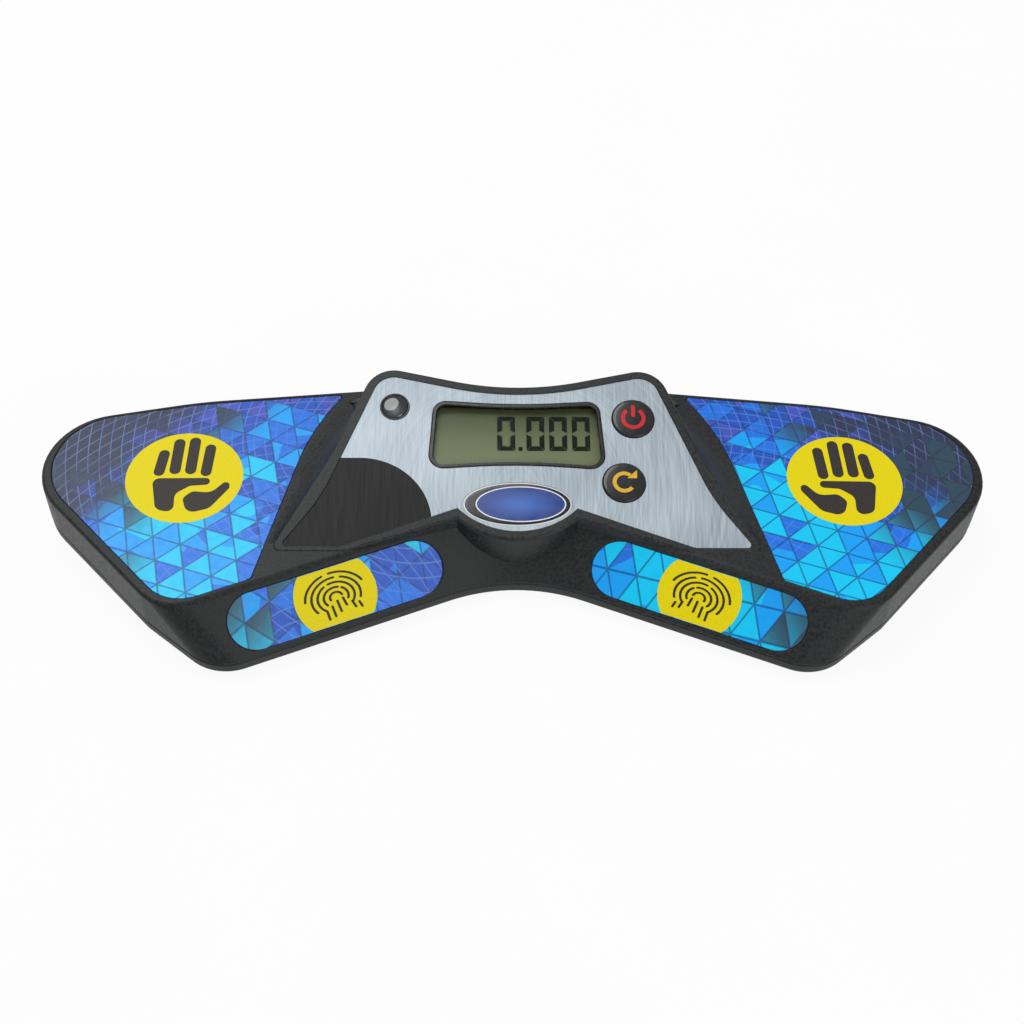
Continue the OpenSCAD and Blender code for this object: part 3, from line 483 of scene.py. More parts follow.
class Paint:
    """A new node material in the making, with its surface shader and the piece's object coordinates."""

    def __init__(self, name):
        self.material = bpy.data.materials.new(name)
        self.material.use_nodes = True
        self.tree = self.material.node_tree
        self.tree.nodes.clear()
        self.shader = self.add("ShaderNodeBsdfPrincipled")
        self.output = self.add("ShaderNodeOutputMaterial", {"Surface": self.shader.outputs["BSDF"]})
        self.where = self.add("ShaderNodeTexCoord").outputs["Object"]

    def add(self, kind, inputs=None, **settings):
        return add(self.tree, kind, inputs, **settings)

    def grain(self, size, detail=2.0, where=None):
        """Noise whose features are about size millimetres across."""
        inputs = {"Vector": where or self.where, "Scale": 1 / (size * MM), "Detail": detail}
        return Value(self.tree, self.add("ShaderNodeTexNoise", inputs).outputs["Fac"])

    def ramp(self, factor, *stops, interpolation="LINEAR"):
        """A colour ramp of (position, hex colour) stops."""
        made = self.add("ShaderNodeValToRGB", {"Fac": factor})
        made.color_ramp.interpolation = interpolation
        marks = made.color_ramp.elements
        while len(marks) < len(stops):
            marks.new(0.5)
        for mark, (place, code) in zip(marks, stops):
            mark.position = place
            mark.color = linear(code)
        return made.outputs["Color"]

    def range(self, value, low, high, to_low=0.0, to_high=1.0):
        """A value taken smoothly from one range to another."""
        inputs = {"Value": value, "From Min": low, "From Max": high, "To Min": to_low, "To Max": to_high}
        made = self.add("ShaderNodeMapRange", inputs, interpolation_type="SMOOTHSTEP")
        return Value(self.tree, made.outputs["Result"])

    def over(self, factor, colour, code):
        """A hex colour laid over a colour by a factor."""
        return self.add("ShaderNodeMix", {"Factor": factor, 6: colour, 7: linear(code)}, data_type="RGBA",
                        clamp_factor=True).outputs[2]

    def mapped(self, vector, **inputs):
        """A vector turned or scaled."""
        return self.add("ShaderNodeMapping", {"Vector": vector, **inputs}).outputs["Vector"]

    def split(self, vector):
        made = self.add("ShaderNodeSeparateXYZ", {"Vector": vector})
        return [Value(self.tree, made.outputs[axis]) for axis in "XYZ"]

    def fascia(self):
        """Object coordinates turned into the fascia's own plane: x, up the slope, out of it, in metres."""
        moved = self.add("ShaderNodeVectorMath", {0: self.where, 1: (0, 0, -FASCIA_Z * MM)}, operation="ADD")
        return self.mapped(moved.outputs[0], Rotation=(-math.radians(TILT), 0, 0))

    def done(self, colour, rough, relief=None, depth=0.0, constants=None):
        """Set the surface, with a relief of depth millimetres, and give the material."""
        inputs = {"Base Color": colour, "Roughness": rough, **(constants or {})}
        if relief:
            bump = self.add("ShaderNodeBump", {"Height": relief, "Strength": 1.0, "Distance": depth * MM})
            inputs["Normal"] = bump.outputs["Normal"]
        fill(self.tree, self.shader, inputs)
        return self.material


SPECULAR, COAT = "Specular IOR Level", "Coat Weight"


def moulded_plastic(name, code, light, rough, grit=0.9, depth=0.09):
    """Injection-moulded ABS with a spark-eroded texture: a satin skin that breaks the light into fine
    grains of about 0.9 mm, with a slow drift of tone where the melt cooled unevenly."""
    p = Paint(name)
    fine = p.grain(grit, 3)
    tone = fine * 0.75 + p.grain(38) * 0.25
    return p.done(p.ramp(tone, (0.4, code), (0.6, light)), p.range(fine, 0.3, 0.7, rough - 0.07, rough + 0.09),
                  fine, depth, {SPECULAR: 0.32})


def plain_gloss(name, code, light, rough=0.12, coat=0.0):
    """Polished plastic: deep colour, a sharp reflection, faint hairline wipes about 1.5 mm apart."""
    p = Paint(name)
    wipes = p.grain(1.5, 6)
    return p.done(p.ramp(p.grain(9), (0.3, code), (0.7, light)), p.range(wipes, 0.35, 0.75, rough, rough + 0.12),
                  wipes, 0.004, {COAT: coat})


def metal(name, code, light, rough, streak=(1, 1, 1)):
    """Bare sheet metal: coloured reflection with fine rolling lines along one axis."""
    p = Paint(name)
    lines = p.grain(0.6, 4, p.mapped(p.where, Scale=streak))
    return p.done(p.ramp(lines, (0.3, code), (0.7, light)), p.range(lines, 0.3, 0.7, rough - 0.08, rough + 0.1),
                  lines, 0.01, {"Metallic": 1.0})


def brushed_label(name, dark, light):
    """Aluminium-look printed film: fine brush lines up the slope every 0.4 mm that bend in wide rings
    round the display, a cool grey, with a black printed quarter at its lower left."""
    p = Paint(name)
    plane = p.fascia()
    x, v, _ = p.split(plane)
    lines = p.grain(0.45, 3, p.mapped(plane, Scale=(1, 0.035, 1)))
    far = p.add("ShaderNodeCombineXYZ", {"X": distance(x, v - 4 * MM)}).outputs[0]
    streaks = p.grain(1.1, 3.0, far) * 0.4 + lines * 0.6
    tone = streaks * 0.72 + p.grain(30, 2, plane) * 0.28
    silver = p.ramp(tone, (0.36, dark), (0.62, light))
    # black quarter: a disc and everything beyond its centre to the lower left
    qx, qy = x + 48 * MM, v + 9.1 * MM
    disc = (qx * qx + qy * qy) < (22.2 * MM) ** 2
    black = disc.step("MAXIMUM", (qx < 0.0) * (v < 13.1 * MM))
    return p.done(p.over(black, silver, "#0a0b0c"), p.range(streaks, 0.3, 0.7, 0.36, 0.5), streaks, 0.006,
                  {SPECULAR: 0.25, "Metallic": black * -0.35 + 0.35})


def printed_film(name, indigo, blue_dark, blue, azure, cyan, charcoal):
    """Gloss polycarbonate film over a printed mosaic: triangular tiles of 9 mm in cyan and blues that
    fade to charcoal at the wing tips, dark joints, and thin pale ripples through the darker fields."""
    p = Paint(name)
    x, y, z = p.split(p.where)
    tile = 1 / (9 * MM)
    tx, ty, _ = p.split(p.mapped(p.where, Rotation=(0, 0, math.radians(19)), Scale=(tile, tile, 0)))
    v = ty * (2 / math.sqrt(3))
    u = v * -0.5 + tx
    fu, fv = u.step("FRACT"), v.step("FRACT")
    cell = p.add("ShaderNodeCombineXYZ", {"X": u.step("FLOOR"), "Y": v.step("FLOOR"), "Z": (fu + fv) > 1.0})
    pick = Value(p.tree, p.add("ShaderNodeTexWhiteNoise", {"Vector": cell.outputs[0]},
                               noise_dimensions="3D").outputs["Value"])
    front = p.range(y, -30 * MM, 40 * MM, 0.24, -0.14)
    tone = pick * 0.62 + p.grain(42, 1) * 1.3 - 0.48 + front
    tiles = p.ramp(tone, (0.0, indigo), (0.22, blue_dark), (0.42, blue), (0.58, azure), (0.74, cyan),
                   interpolation="CONSTANT")
    # dark joints of half a millimetre along the three sides of each tile
    edge = fu.step("MINIMUM", fv).step("MINIMUM", abs(fu + fv - 1.0))
    edge = edge.step("MINIMUM", (1.0 - fu).step("MINIMUM", 1.0 - fv))
    tiles = p.over(p.range(edge, 0.02, 0.045, 0.72, 0.0), tiles, "#14407c")
    # charcoal towards the tips of the wings and of the front bands, with single tiles left bright
    band = z < (WING_Z - 1.5) * MM
    reach = abs(x) + y * 0.6 + band * (58 * MM) + (pick - 0.5) * (34 * MM)
    tiles = p.over(p.range(reach, 104 * MM, 130 * MM, 0.0, 0.94), tiles, charcoal)
    # pale ripples 3.4 mm apart round two points beside each pad
    ripple = 0.0
    for cx, cy in ((60, -52), (38, 30)):
        far = distance(abs(x) - cx * MM, y - cy * MM)
        wave = abs((far / (3.4 * MM)).step("FRACT") - 0.5)
        ripple = p.range(wave, 0.43, 0.49, 0.0, 0.5).step("MAXIMUM", ripple)
    tiles = p.over(ripple * p.range(tone, 0.72, 0.3), tiles, "#7fa6ee")
    mottle = p.grain(2.2, 3)
    tiles = p.over(p.range(mottle, 0.35, 0.75, 0.0, 0.07), tiles, "#0c3aa0")
    return p.done(tiles, p.range(mottle, 0.3, 0.7, 0.24, 0.34), p.grain(0.8), 0.01, {SPECULAR: 0.3})


def screen_ink(name, code, light, rough=0.35):
    """Screen-printed ink: flat opaque colour, with the mesh's faint mottling of half a millimetre."""
    p = Paint(name)
    mesh_mark = p.grain(0.5)
    return p.done(p.ramp(mesh_mark, (0.3, code), (0.7, light)), p.range(mesh_mark, 0.3, 0.7, rough, rough + 0.1),
                  mesh_mark, 0.004, {SPECULAR: 0.15})


def enamel_badge(name, middle, edge):
    """Domed enamel plate: black outer field, thin white lines and a blue oval that lightens to its middle."""
    p = Paint(name)
    x, v, _ = p.split(p.fascia())

    def oval(a, b, dx=0.0):
        return distance((x - dx * MM) / (a * MM), (v - BADGE_V * MM) / (b * MM))

    blue = p.ramp(oval(13.3, 5.6, 1.0) + p.grain(1.2, 3) * 0.12, (0.1, middle), (0.9, edge))
    colour = p.over(oval(13.3, 5.6, 1.0) > 1.0, blue, "#e8ecf0")
    colour = p.over(oval(13.7, 5.95, 1.0) > 1.0, colour, "#15171a")
    colour = p.over(oval(16.0, 6.85) > 1.0, colour, "#dfe3e6")
    return p.done(colour, p.range(p.grain(3, 3), 0.3, 0.7, 0.14, 0.26), constants={COAT: 0.15})


def crystal_panel(name, low, middle, high):
    """Reflective liquid-crystal glass: olive polariser with painted shade darkening it towards its upper edge and
    painted light on its lighter lower edge, fine pixel grain.
    """
    p = Paint(name)
    v = p.split(p.fascia())[1]
    # painted light and shade: lighter at the lower edge, darker towards the upper edge, over a fine pixel grain
    tone = p.grain(0.5) * 0.16 + p.range(v, 10 * MM, 34 * MM)
    return p.done(p.ramp(tone, (0.0, low), (0.55, middle), (1.0, high)), p.range(p.grain(6), 0.3, 0.7, 0.3, 0.42),
                  constants={SPECULAR: 0.35})


def clear_window(name):
    """Clear acrylic: nearly invisible, with a sharp reflection and a faint smoke in wide clouds."""
    p = Paint(name)
    return p.done(p.ramp(p.grain(20), (0.3, "#20241f"), (0.7, "#343a30")), p.range(p.grain(2, 4), 0.4, 0.8, 0.03, 0.09),
                  constants={"Alpha": 0.04, SPECULAR: 0.3, "IOR": 1.49})


def smoked_lens(name):
    """Smoked polycarbonate dome: dark and wet-looking, with a painted reflection that lightens it round a point just
    below its middle.
    """
    p = Paint(name)
    x, v, _ = p.split(p.fascia())
    # painted reflection: lighter grey round a point 1.5 mm below the lens centre, fading to the dark smoke at its rim
    far = p.range(distance(x - LENS[0] * MM, v - (LENS[1] - 1.5) * MM), 0.0, 3.9 * MM)
    return p.done(p.ramp(far, (0.0, "#6a6f75"), (0.45, "#3a3e43"), (1.0, "#15171a")),
                  p.range(p.grain(2, 3), 0.3, 0.8, 0.03, 0.08), constants={COAT: 1.0})


def solder_board(name):
    """Glass-epoxy board under green solder mask: weave of 1 mm, copper tracks that stand proud in places."""
    p = Paint(name)
    plane = p.fascia()
    weave = p.add("ShaderNodeTexChecker", {"Vector": plane, "Scale": 1 / (1.0 * MM)}).outputs["Fac"]
    black, white = (0, 0, 0, 1), (1, 1, 1, 1)
    tracks = p.add("ShaderNodeTexBrick", {"Vector": plane, "Scale": 1 / (4 * MM), "Mortar Size": 0.07,
                                          "Color1": black, "Color2": black, "Mortar": white}).outputs["Color"]
    tone = Value(p.tree, tracks) * 0.6 + Value(p.tree, weave) * 0.12
    return p.done(p.ramp(tone, (0.0, "#175a33"), (0.7, "#3f9a5a")), 0.3, tracks, 0.04)


def sleeve(name):
    """Shrink sleeve of a cell: glossy film, gold with a dark band at the flat end."""
    p = Paint(name)
    wrap = p.grain(1.4, 3)
    gold = p.ramp(wrap, (0.3, "#b79a52"), (0.7, "#cfb878"))
    return p.done(p.over(abs(p.split(p.where)[0]) > 14 * MM, gold, "#26282b"), p.range(wrap, 0.3, 0.7, 0.2, 0.34),
                  wrap, 0.02, {"Metallic": 0.4})


def rubber(name):
    """Pressed black rubber: matt, powdery, with a soft relief of 0.9 mm."""
    p = Paint(name)
    dust = p.grain(0.9, 4)
    return p.done(p.ramp(dust, (0.3, "#151515"), (0.75, "#2b2b2a")), 0.82, dust, 0.06, {SPECULAR: 0.3})


# Colour settings: name, what it colours and its sRGB hex value
COLOURS = {
    "shell": ("Shell", "Grooves of the upper case's texture", "#101314"),
    "shell_light": ("Shell light", "Peaks of the upper case's texture", "#26292a"),
    "console": ("Console", "Grooves of the console's texture", "#17191a"),
    "console_light": ("Console light", "Peaks of the console's texture", "#2d3031"),
    "base": ("Base", "Grooves of the base's texture", "#16191a"),
    "base_light": ("Base light", "Peaks of the base's texture", "#2a2e2f"),
    "label_dark": ("Label dark", "Dark brush lines of the label", "#8d99a2"),
    "label_light": ("Label light", "Light brush lines of the label", "#bcc8d0"),
    "yellow": ("Discs", "Colour of the yellow discs", "#e6d400"),
    "indigo": ("Indigo", "Darkest tiles of the pads", "#4757c0"),
    "blue_dark": ("Deep blue", "Dark tiles of the pads", "#2259c6"),
    "blue": ("Blue", "Middle tiles of the pads", "#1f78ea"),
    "azure": ("Azure", "Light tiles of the pads", "#0ea8ff"),
    "cyan": ("Cyan", "Lightest tiles of the pads", "#08d0ff"),
    "charcoal": ("Charcoal", "Tiles at the wing tips", "#34363f"),
    "badge_light": ("Badge middle", "Middle of the badge", "#3f6fc4"),
    "badge_dark": ("Badge edge", "Edge of the badge's blue oval", "#1f3f8c"),
    "lcd": ("Display", "Middle of the display", "#68714a"),
    # the display's lower and upper edge colours are painted light and painted shade on one olive panel
    "lcd_painted_light": ("Display low", "Lower edge of the display", "#7d8560"),
    "lcd_painted_shade": ("Display high", "Upper edge of the display", "#49522f"),
}

# How each material is made: function, material name, then colours by value or by setting, and measures
FINISHES = {
    "shell": (moulded_plastic, "textured_abs", "shell", "shell_light", 0.46),
    "console": (moulded_plastic, "textured_abs_console", "console", "console_light", 0.42),
    "base": (moulded_plastic, "satin_abs_base", "base", "base_light", 0.5, 0.9, 0.04),
    "door": (moulded_plastic, "satin_abs_door", "base", "base_light", 0.55, 0.9, 0.05),
    "inner": (moulded_plastic, "plain_abs_inner", "#1e2022", "#303336", 0.5, 1.2, 0.03),
    "label": (brushed_label, "brushed_aluminium_film", "label_dark", "label_light"),
    "print": (printed_film, "printed_polycarbonate_film", "indigo", "blue_dark", "blue", "azure", "cyan", "charcoal"),
    "yellow": (screen_ink, "yellow_screen_ink", "yellow", "#f0df16"),
    "dark_ink": (screen_ink, "charcoal_screen_ink", "#332f2c", "#423e3a"),
    "red_ink": (screen_ink, "red_screen_ink", "#c4242c", "#d8363c"),
    "gold_ink": (screen_ink, "gold_screen_ink", "#d9a92a", "#e8bd45"),
    "badge": (enamel_badge, "enamelled_oval", "badge_light", "badge_dark"),
    "gloss": (plain_gloss, "polished_abs", "#0d0e0f", "#17191a", 0.16, 0.3),
    "bezel": (plain_gloss, "polished_bezel", "#0b0c0d", "#141617", 0.22),
    "panel": (crystal_panel, "liquid_crystal_polariser", "lcd_painted_light", "lcd", "lcd_painted_shade"),
    "segments": (screen_ink, "crystal_segments", "#0b0d08", "#14170f", 0.5),
    "window": (clear_window, "clear_acrylic"),
    "lens": (smoked_lens, "smoked_polycarbonate"),
    "led": (plain_gloss, "frosted_epoxy", "#bfc8d0", "#dfe6ea", 0.25),
    "board": (solder_board, "glass_epoxy_board"),
    "chip": (moulded_plastic, "moulded_epoxy", "#17181a", "#26282a", 0.6, 0.5, 0.02),
    "strip": (moulded_plastic, "conductive_elastomer", "#c9c2b2", "#e0dacb", 0.6, 0.6, 0.03),
    "plunger": (plain_gloss, "natural_acetal", "#c2c2bc", "#d6d6d0", 0.35),
    "steel": (metal, "zinc_plated_steel", "#8d9092", "#c3c6c8", 0.32, (1, 0.12, 1)),
    "nickel": (metal, "nickel_plated_steel", "#b5b8ba", "#dcdedf", 0.22),
    "copper": (metal, "etched_copper_foil", "#a8602f", "#cf8a54", 0.34, (0.1, 1, 1)),
    "sleeve": (sleeve, "shrink_sleeve"),
    "rubber": (rubber, "pressed_rubber"),
}


def finish(name):
    """The named material, made the first time that a piece asks for it."""
    build, title, *values = FINISHES[name]
    look = bpy.context.scene.timer_look
    values = [getattr(look, value) if value in COLOURS else value for value in values]
    return bpy.data.materials.get(title) or build(title, *values)


# --- repeated parts -----------------------------------------------------------------------
def repeat_tree(name, inputs):
    """An empty Geometry Nodes tree with named inputs, and the identifiers of those inputs."""
    tree = bpy.data.node_groups.new(name, "GeometryNodeTree")
    tree.interface.new_socket("Geometry", in_out="INPUT", socket_type="NodeSocketGeometry")
    tree.interface.new_socket("Geometry", in_out="OUTPUT", socket_type="NodeSocketGeometry")
    ids = {}
    for label, (kind, value) in inputs.items():
        socket = tree.interface.new_socket(label, in_out="INPUT", socket_type=kind)
        if value is not None:
            socket.default_value = value
        ids[label] = socket.identifier
    return tree, add(tree, "NodeGroupInput").outputs, add(tree, "NodeGroupOutput"), ids


def close_tree(tree, out, geometry, given):
    """Realise the instances, set the material and end the tree."""
    real = add(tree, "GeometryNodeRealizeInstances", {"Geometry": geometry}).outputs["Geometry"]
    done = add(tree, "GeometryNodeSetMaterial", {"Geometry": real, "Material": given["Finish"]})
    tree.links.new(done.outputs["Geometry"], out.inputs["Geometry"])


def grow(name, tree, ids, values, place):
    """Run a tree on an empty mesh and bake the result into a plain mesh at its place."""
    holder = bpy.data.objects.new(name, bpy.data.meshes.new(name))
    bpy.context.scene.collection.objects.link(holder)
    step = holder.modifiers.new("repeat", "NODES")
    step.node_group = tree
    for label, value in values.items():
        step[ids[label]] = value
    graph = bpy.context.evaluated_depsgraph_get()
    mesh = bpy.data.meshes.new_from_object(holder.evaluated_get(graph))
    holder.modifiers.clear()
    empty = holder.data
    holder.data = mesh
    bpy.data.meshes.remove(empty)
    mesh.transform(Matrix.Scale(MM, 4) @ place @ Matrix.Scale(1 / MM, 4))
    if not mesh.polygons:
        raise RuntimeError(name + " came out empty")
    return holder


def spring_tree():
    """A conical helix of round wire, from its plate to its tip, lengths in metres."""
    length = ("NodeSocketFloat", 0.004)
    tree, given, out, ids = repeat_tree("contact_spring", {
        "Base radius": length, "Tip radius": length, "Height": length, "Wire radius": length,
        "Turns": ("NodeSocketFloat", 5.0), "Finish": ("NodeSocketMaterial", None)})
    helix = add(tree, "GeometryNodeCurveSpiral", {
        "Resolution": 22, "Rotations": given["Turns"], "Start Radius": given["Base radius"],
        "End Radius": given["Tip radius"], "Height": given["Height"]})
    wire = add(tree, "GeometryNodeCurvePrimitiveCircle", {"Resolution": 8, "Radius": given["Wire radius"]})
    body = add(tree, "GeometryNodeCurveToMesh", {"Curve": helix.outputs["Curve"],
                                                 "Profile Curve": wire.outputs["Curve"], "Fill Caps": True})
    close_tree(tree, out, body.outputs["Mesh"], given)
    return tree, ids


def grid_tree():
    """Small blocks on a grid, each kept or left out by a seeded choice, lengths in metres."""
    length = ("NodeSocketFloat", 0.002)
    tree, given, out, ids = repeat_tree("board_blocks", {
        "Width": length, "Depth": length, "Columns": ("NodeSocketInt", 6), "Rows": ("NodeSocketInt", 3),
        "Block": ("NodeSocketVector", (0.002, 0.0012, 0.0008)), "Kept share": ("NodeSocketFloat", 0.6),
        "Seed": ("NodeSocketInt", 3), "Finish": ("NodeSocketMaterial", None)})
    grid = add(tree, "GeometryNodeMeshGrid", {"Size X": given["Width"], "Size Y": given["Depth"],
                                              "Vertices X": given["Columns"], "Vertices Y": given["Rows"]})
    block = add(tree, "GeometryNodeMeshCube", {"Size": given["Block"]})
    keep = add(tree, "FunctionNodeRandomValue", {"Probability": given["Kept share"], "Seed": given["Seed"]},
               data_type="BOOLEAN")
    spread = add(tree, "GeometryNodeInstanceOnPoints", {
        "Points": grid.outputs["Mesh"], "Instance": block.outputs["Mesh"], "Selection": keep.outputs[3]})
    close_tree(tree, out, spread.outputs["Instances"], given)
    return tree, ids


# --- user settings ------------------------------------------------------------------------
class TimerShape(bpy.types.PropertyGroup):
    """Sizes of the timer's looks."""

    arc_steps: IntProperty(name="Arc steps", description="Chords in each rounded corner of an outline",
                           default=18, min=6, max=40)
    edge_break: FloatProperty(name="Recess edge", description="Width of the broken edge round the pads, millimetres",
                              default=0.3, min=0.1, max=0.6)
    palm_disc: FloatProperty(name="Palm disc", description="Radius of the yellow disc on a palm pad, millimetres",
                             default=17.94, min=12, max=19)
    finger_disc: FloatProperty(name="Finger disc", description="Radius of the yellow disc on a finger pad, millimetres",
                               default=12.6, min=9, max=14)
    digit_height: FloatProperty(name="Digit height", description="Height of the display's digits, millimetres",
                                default=11.9, min=8, max=14)


class TimerLook(bpy.types.PropertyGroup):
    """Colours of the timer, as sRGB hex values."""

    __annotations__ = {key: StringProperty(name=label, description=about, default=code)
                       for key, (label, about, code) in COLOURS.items()}


# --- the pieces ---------------------------------------------------------------------------
class TIMER_OT_upper_case(bpy.types.Operator):
    """Upper case with its ridge, bands, pad recesses and bosses"""

    bl_idname = "timer.upper_case"
    bl_label = "Upper case"

    def execute(self, context):
        broken = context.scene.timer_shape.edge_break
        rings = stack(case_corners(PART_Z), (0.35, PART_Z)) + stack(case_corners(PART_Z + 0.35), (0, PART_Z + 0.35))
        for share, rise in quarter(6):
            z = WING_Z - RIDGE_R * (1 - rise)
            rings += stack(case_corners(z), (RIDGE_R * share, z))
        case = blank("upper_shell", loft(rings), Matrix.Diagonal((TRIM, TRIM, 1, 1)))
        carve(case, slab(rounded(soften(inset(case_corners(ROOM_TOP), WALL), 3)), PART_Z - 1, ROOM_TOP))
        carve(case, slab(rounded(inset(both(RIM_RIGHT), 0.55)), PART_Z + 1, 40))
        carve(case, slab(circle(TONGUE_R + 0.05, (0, TONGUE_Y), 160), PART_Z + 2, 40))
        outline = palm_corners()
        for side in (-1, 1):
            palm = stack(outline, (0, WING_Z - PAD_SINK), (0, WING_Z - broken), (-broken, WING_Z),
                         (-broken, WING_Z + 2))
            carve(case, loft(palm), side_place(side))
            finger = [raised(finger_outline(), -PAD_SINK), raised(finger_outline(), -broken),
                      raised(finger_outline(-broken), 0), raised(finger_outline(-broken), 2)]
            carve(case, loft(finger), band_place(side))
            for x, y in SCREWS:
                at = Matrix.Translation((side * x, y, 0))
                carve(case, slab(circle(POST_R, steps=40), PART_Z + 0.5, ROOM_TOP + 0.5), at, "UNION")
                carve(case, slab(circle(1.3, steps=32), 0, WING_Z - 2.9), at)
        jack = Matrix.Translation((0, DEPTH / 2 + 5, JACK_Z)) @ spun(90, "X")
        carve(case, slab(circle(3.1, steps=64), 0, 20), jack)
        finished(case, None, "case", "shell", ("upper_case",))
        return {"FINISHED"}


def flank(t):
    """Height share of the console's flared flank at the run share t, a smooth curve through five places."""
    marks = [(0, 0), (0.3, 0.13), (0.56, 0.33), (0.77, 0.58), (0.92, 0.82), (1, 1)]
    k = max(i for i in range(5) if marks[i][0] <= t)
    slopes = []
    for i in range(6):
        a, b = marks[max(0, i - 1)], marks[min(5, i + 1)]
        slopes.append((b[1] - a[1]) / (b[0] - a[0]))
    (x0, y0), (x1, y1) = marks[k], marks[k + 1]
    h = x1 - x0
    s = (t - x0) / h
    return ((2 * s ** 3 - 3 * s ** 2 + 1) * y0 + (s ** 3 - 2 * s ** 2 + s) * h * slopes[k]
            + (3 * s ** 2 - 2 * s ** 3) * y1 + (s ** 3 - s ** 2) * h * slopes[k + 1])


def label_outline(d):
    """Outline of the label in the fascia's plane, with its round front over the tongue."""
    r = TONGUE_R - RIM_W - d
    centre = Vector((0, LABEL_V))
    points = rounded(inset(both(LABEL_RIGHT), d))
    front = [p.y < 6 and (p - centre).length < r for p in points]
    kept = [p for p, inside in zip(points, front) if not inside]
    right = min((p for p in kept if p.x > 0 and p.y < 0), key=lambda p: p.x)
    inner = max((p for p, inside in zip(points, front) if inside), key=lambda p: p.x)
    t = next(k / 400 for k in range(401) if (right.lerp(inner, k / 400) - centre).length < r)
    meets = right.lerp(inner, t) - centre
    half = math.atan2(meets.x, -meets.y)
    arc = [centre + r * Vector((math.sin(a), -math.cos(a))) for a in (-half + 2 * half * k / 80 for k in range(81))]
    kept_right = [p for p in kept if p.x > 0]
    kept_left = [p for p in kept if p.x <= 0]
    return arc + kept_right + kept_left


def to_fascia(points):
    """Points of the part's frame in the fascia's frame."""
    back = fascia_place().inverted()
    return [Vector([round(c, 5) for c in back @ p]) for p in points]


class TIMER_OT_console(bpy.types.Operator):
    """Console shell with flared flanks, rounded rim, tongue and openings"""

    bl_idname = "timer.console"
    bl_label = "Console shell"

    def execute(self, context):
        foot = rounded(both(FOOT_RIGHT))
        rim = rounded(both(RIM_RIGHT))
        slope = math.tan(math.radians(TILT))
        edge = 0.8
        rim_z = [FASCIA_Z + r.y * slope - edge for r in rim]
        low = [min(WING_Z, z - 0.03) for z in rim_z]
        rings = [to_fascia(raised(foot, WING_Z - 1.2))]
        for k in range(14):
            t = k / 13 * 0.97
            rise = flank(t)
            rings.append(to_fascia([
                Vector((f.x + (r.x - f.x) * t, f.y + (r.y - f.y) * t, a + (b - a) * rise))
                for f, r, a, b in zip(foot, rim, low, rim_z)]))
        for share, rise in quarter(6):
            rings.append([Vector((p.x, p.y / math.cos(math.radians(TILT)), -edge * (1 - rise)))
                          for p in rounded(inset(both(RIM_RIGHT), edge * share))])
        console = blank("console_skin", loft(rings))
        back = fascia_place().inverted()
        carve(console, slab(rounded(inset(both(RIM_RIGHT), 0.6)), ROOM_TOP - 1.2, WING_Z - 0.9), back, "UNION")
        # round tongue with a rolled lip, cut off behind its front part
        lip = [(TONGUE_R, -edge), (TONGUE_R - 0.1, -0.5), (TONGUE_R - 0.24, -0.24), (TONGUE_R - 0.5, -0.1),
               (TONGUE_R - 0.8, 0.0)]
        tongue = [to_fascia(raised(circle(TONGUE_R, (0, TONGUE_Y), 160), PART_Z + 2))]
        for r, w in lip:
            tongue.append(to_fascia([Vector((p.x, p.y, FASCIA_Z + p.y * slope + w / math.cos(math.radians(TILT))))
                                     for p in circle(r, (0, TONGUE_Y), 160)]))
        front = blank("tongue", loft(tongue))
        carve(front, slab(oblong(-50, 50, -1, 80), 0, 80), back)
        carve(console, melt(front), None, "UNION")
        carve(console, slab(label_outline(0), -LABEL_SINK, 4))
        # room inside, below the fascia's skin
        room = blank("room", slab(rounded(soften(inset(both(RIM_RIGHT), 3.5), 3)), 10, 60))
        carve(room, slab(circle(TONGUE_R - 3, (0, TONGUE_Y), 96), 5, 61), None, "UNION")
        carve(room, slab(oblong(-44, 44, 10, 35.5), 14, 26), None, "UNION")
        carve(room, slab(oblong(-100, 100, -80, 80), -CEILING, 70), fascia_place())
        carve(console, melt(room), back)
        carve(console, slab(ellipse(BADGE_A + PLATE_HOLE, BADGE_B + PLATE_HOLE, (0, BADGE_V)), -1.2, 4))
        carve(console, slab(rounded(both(LCD_RIGHT)), -6, 4))
        for at in (POWER, RESET):
            carve(console, slab(circle(BUTTON_R + BUTTON_GAP, at), -6, 4))
        carve(console, slab(circle(LENS_R + PLATE_HOLE, LENS), -6, 4))
        for at in BOARD_POSTS:
            carve(console, slab(circle(BOARD_POST_R, at, 32), -BOARD_DEPTH, -1.5), None, "UNION")
            carve(console, slab(circle(PILOT_R, at, 24), -BOARD_DEPTH - 1, -2))
        finished(console, fascia_place(), "case", "console", ("console_shell",))
        return {"FINISHED"}


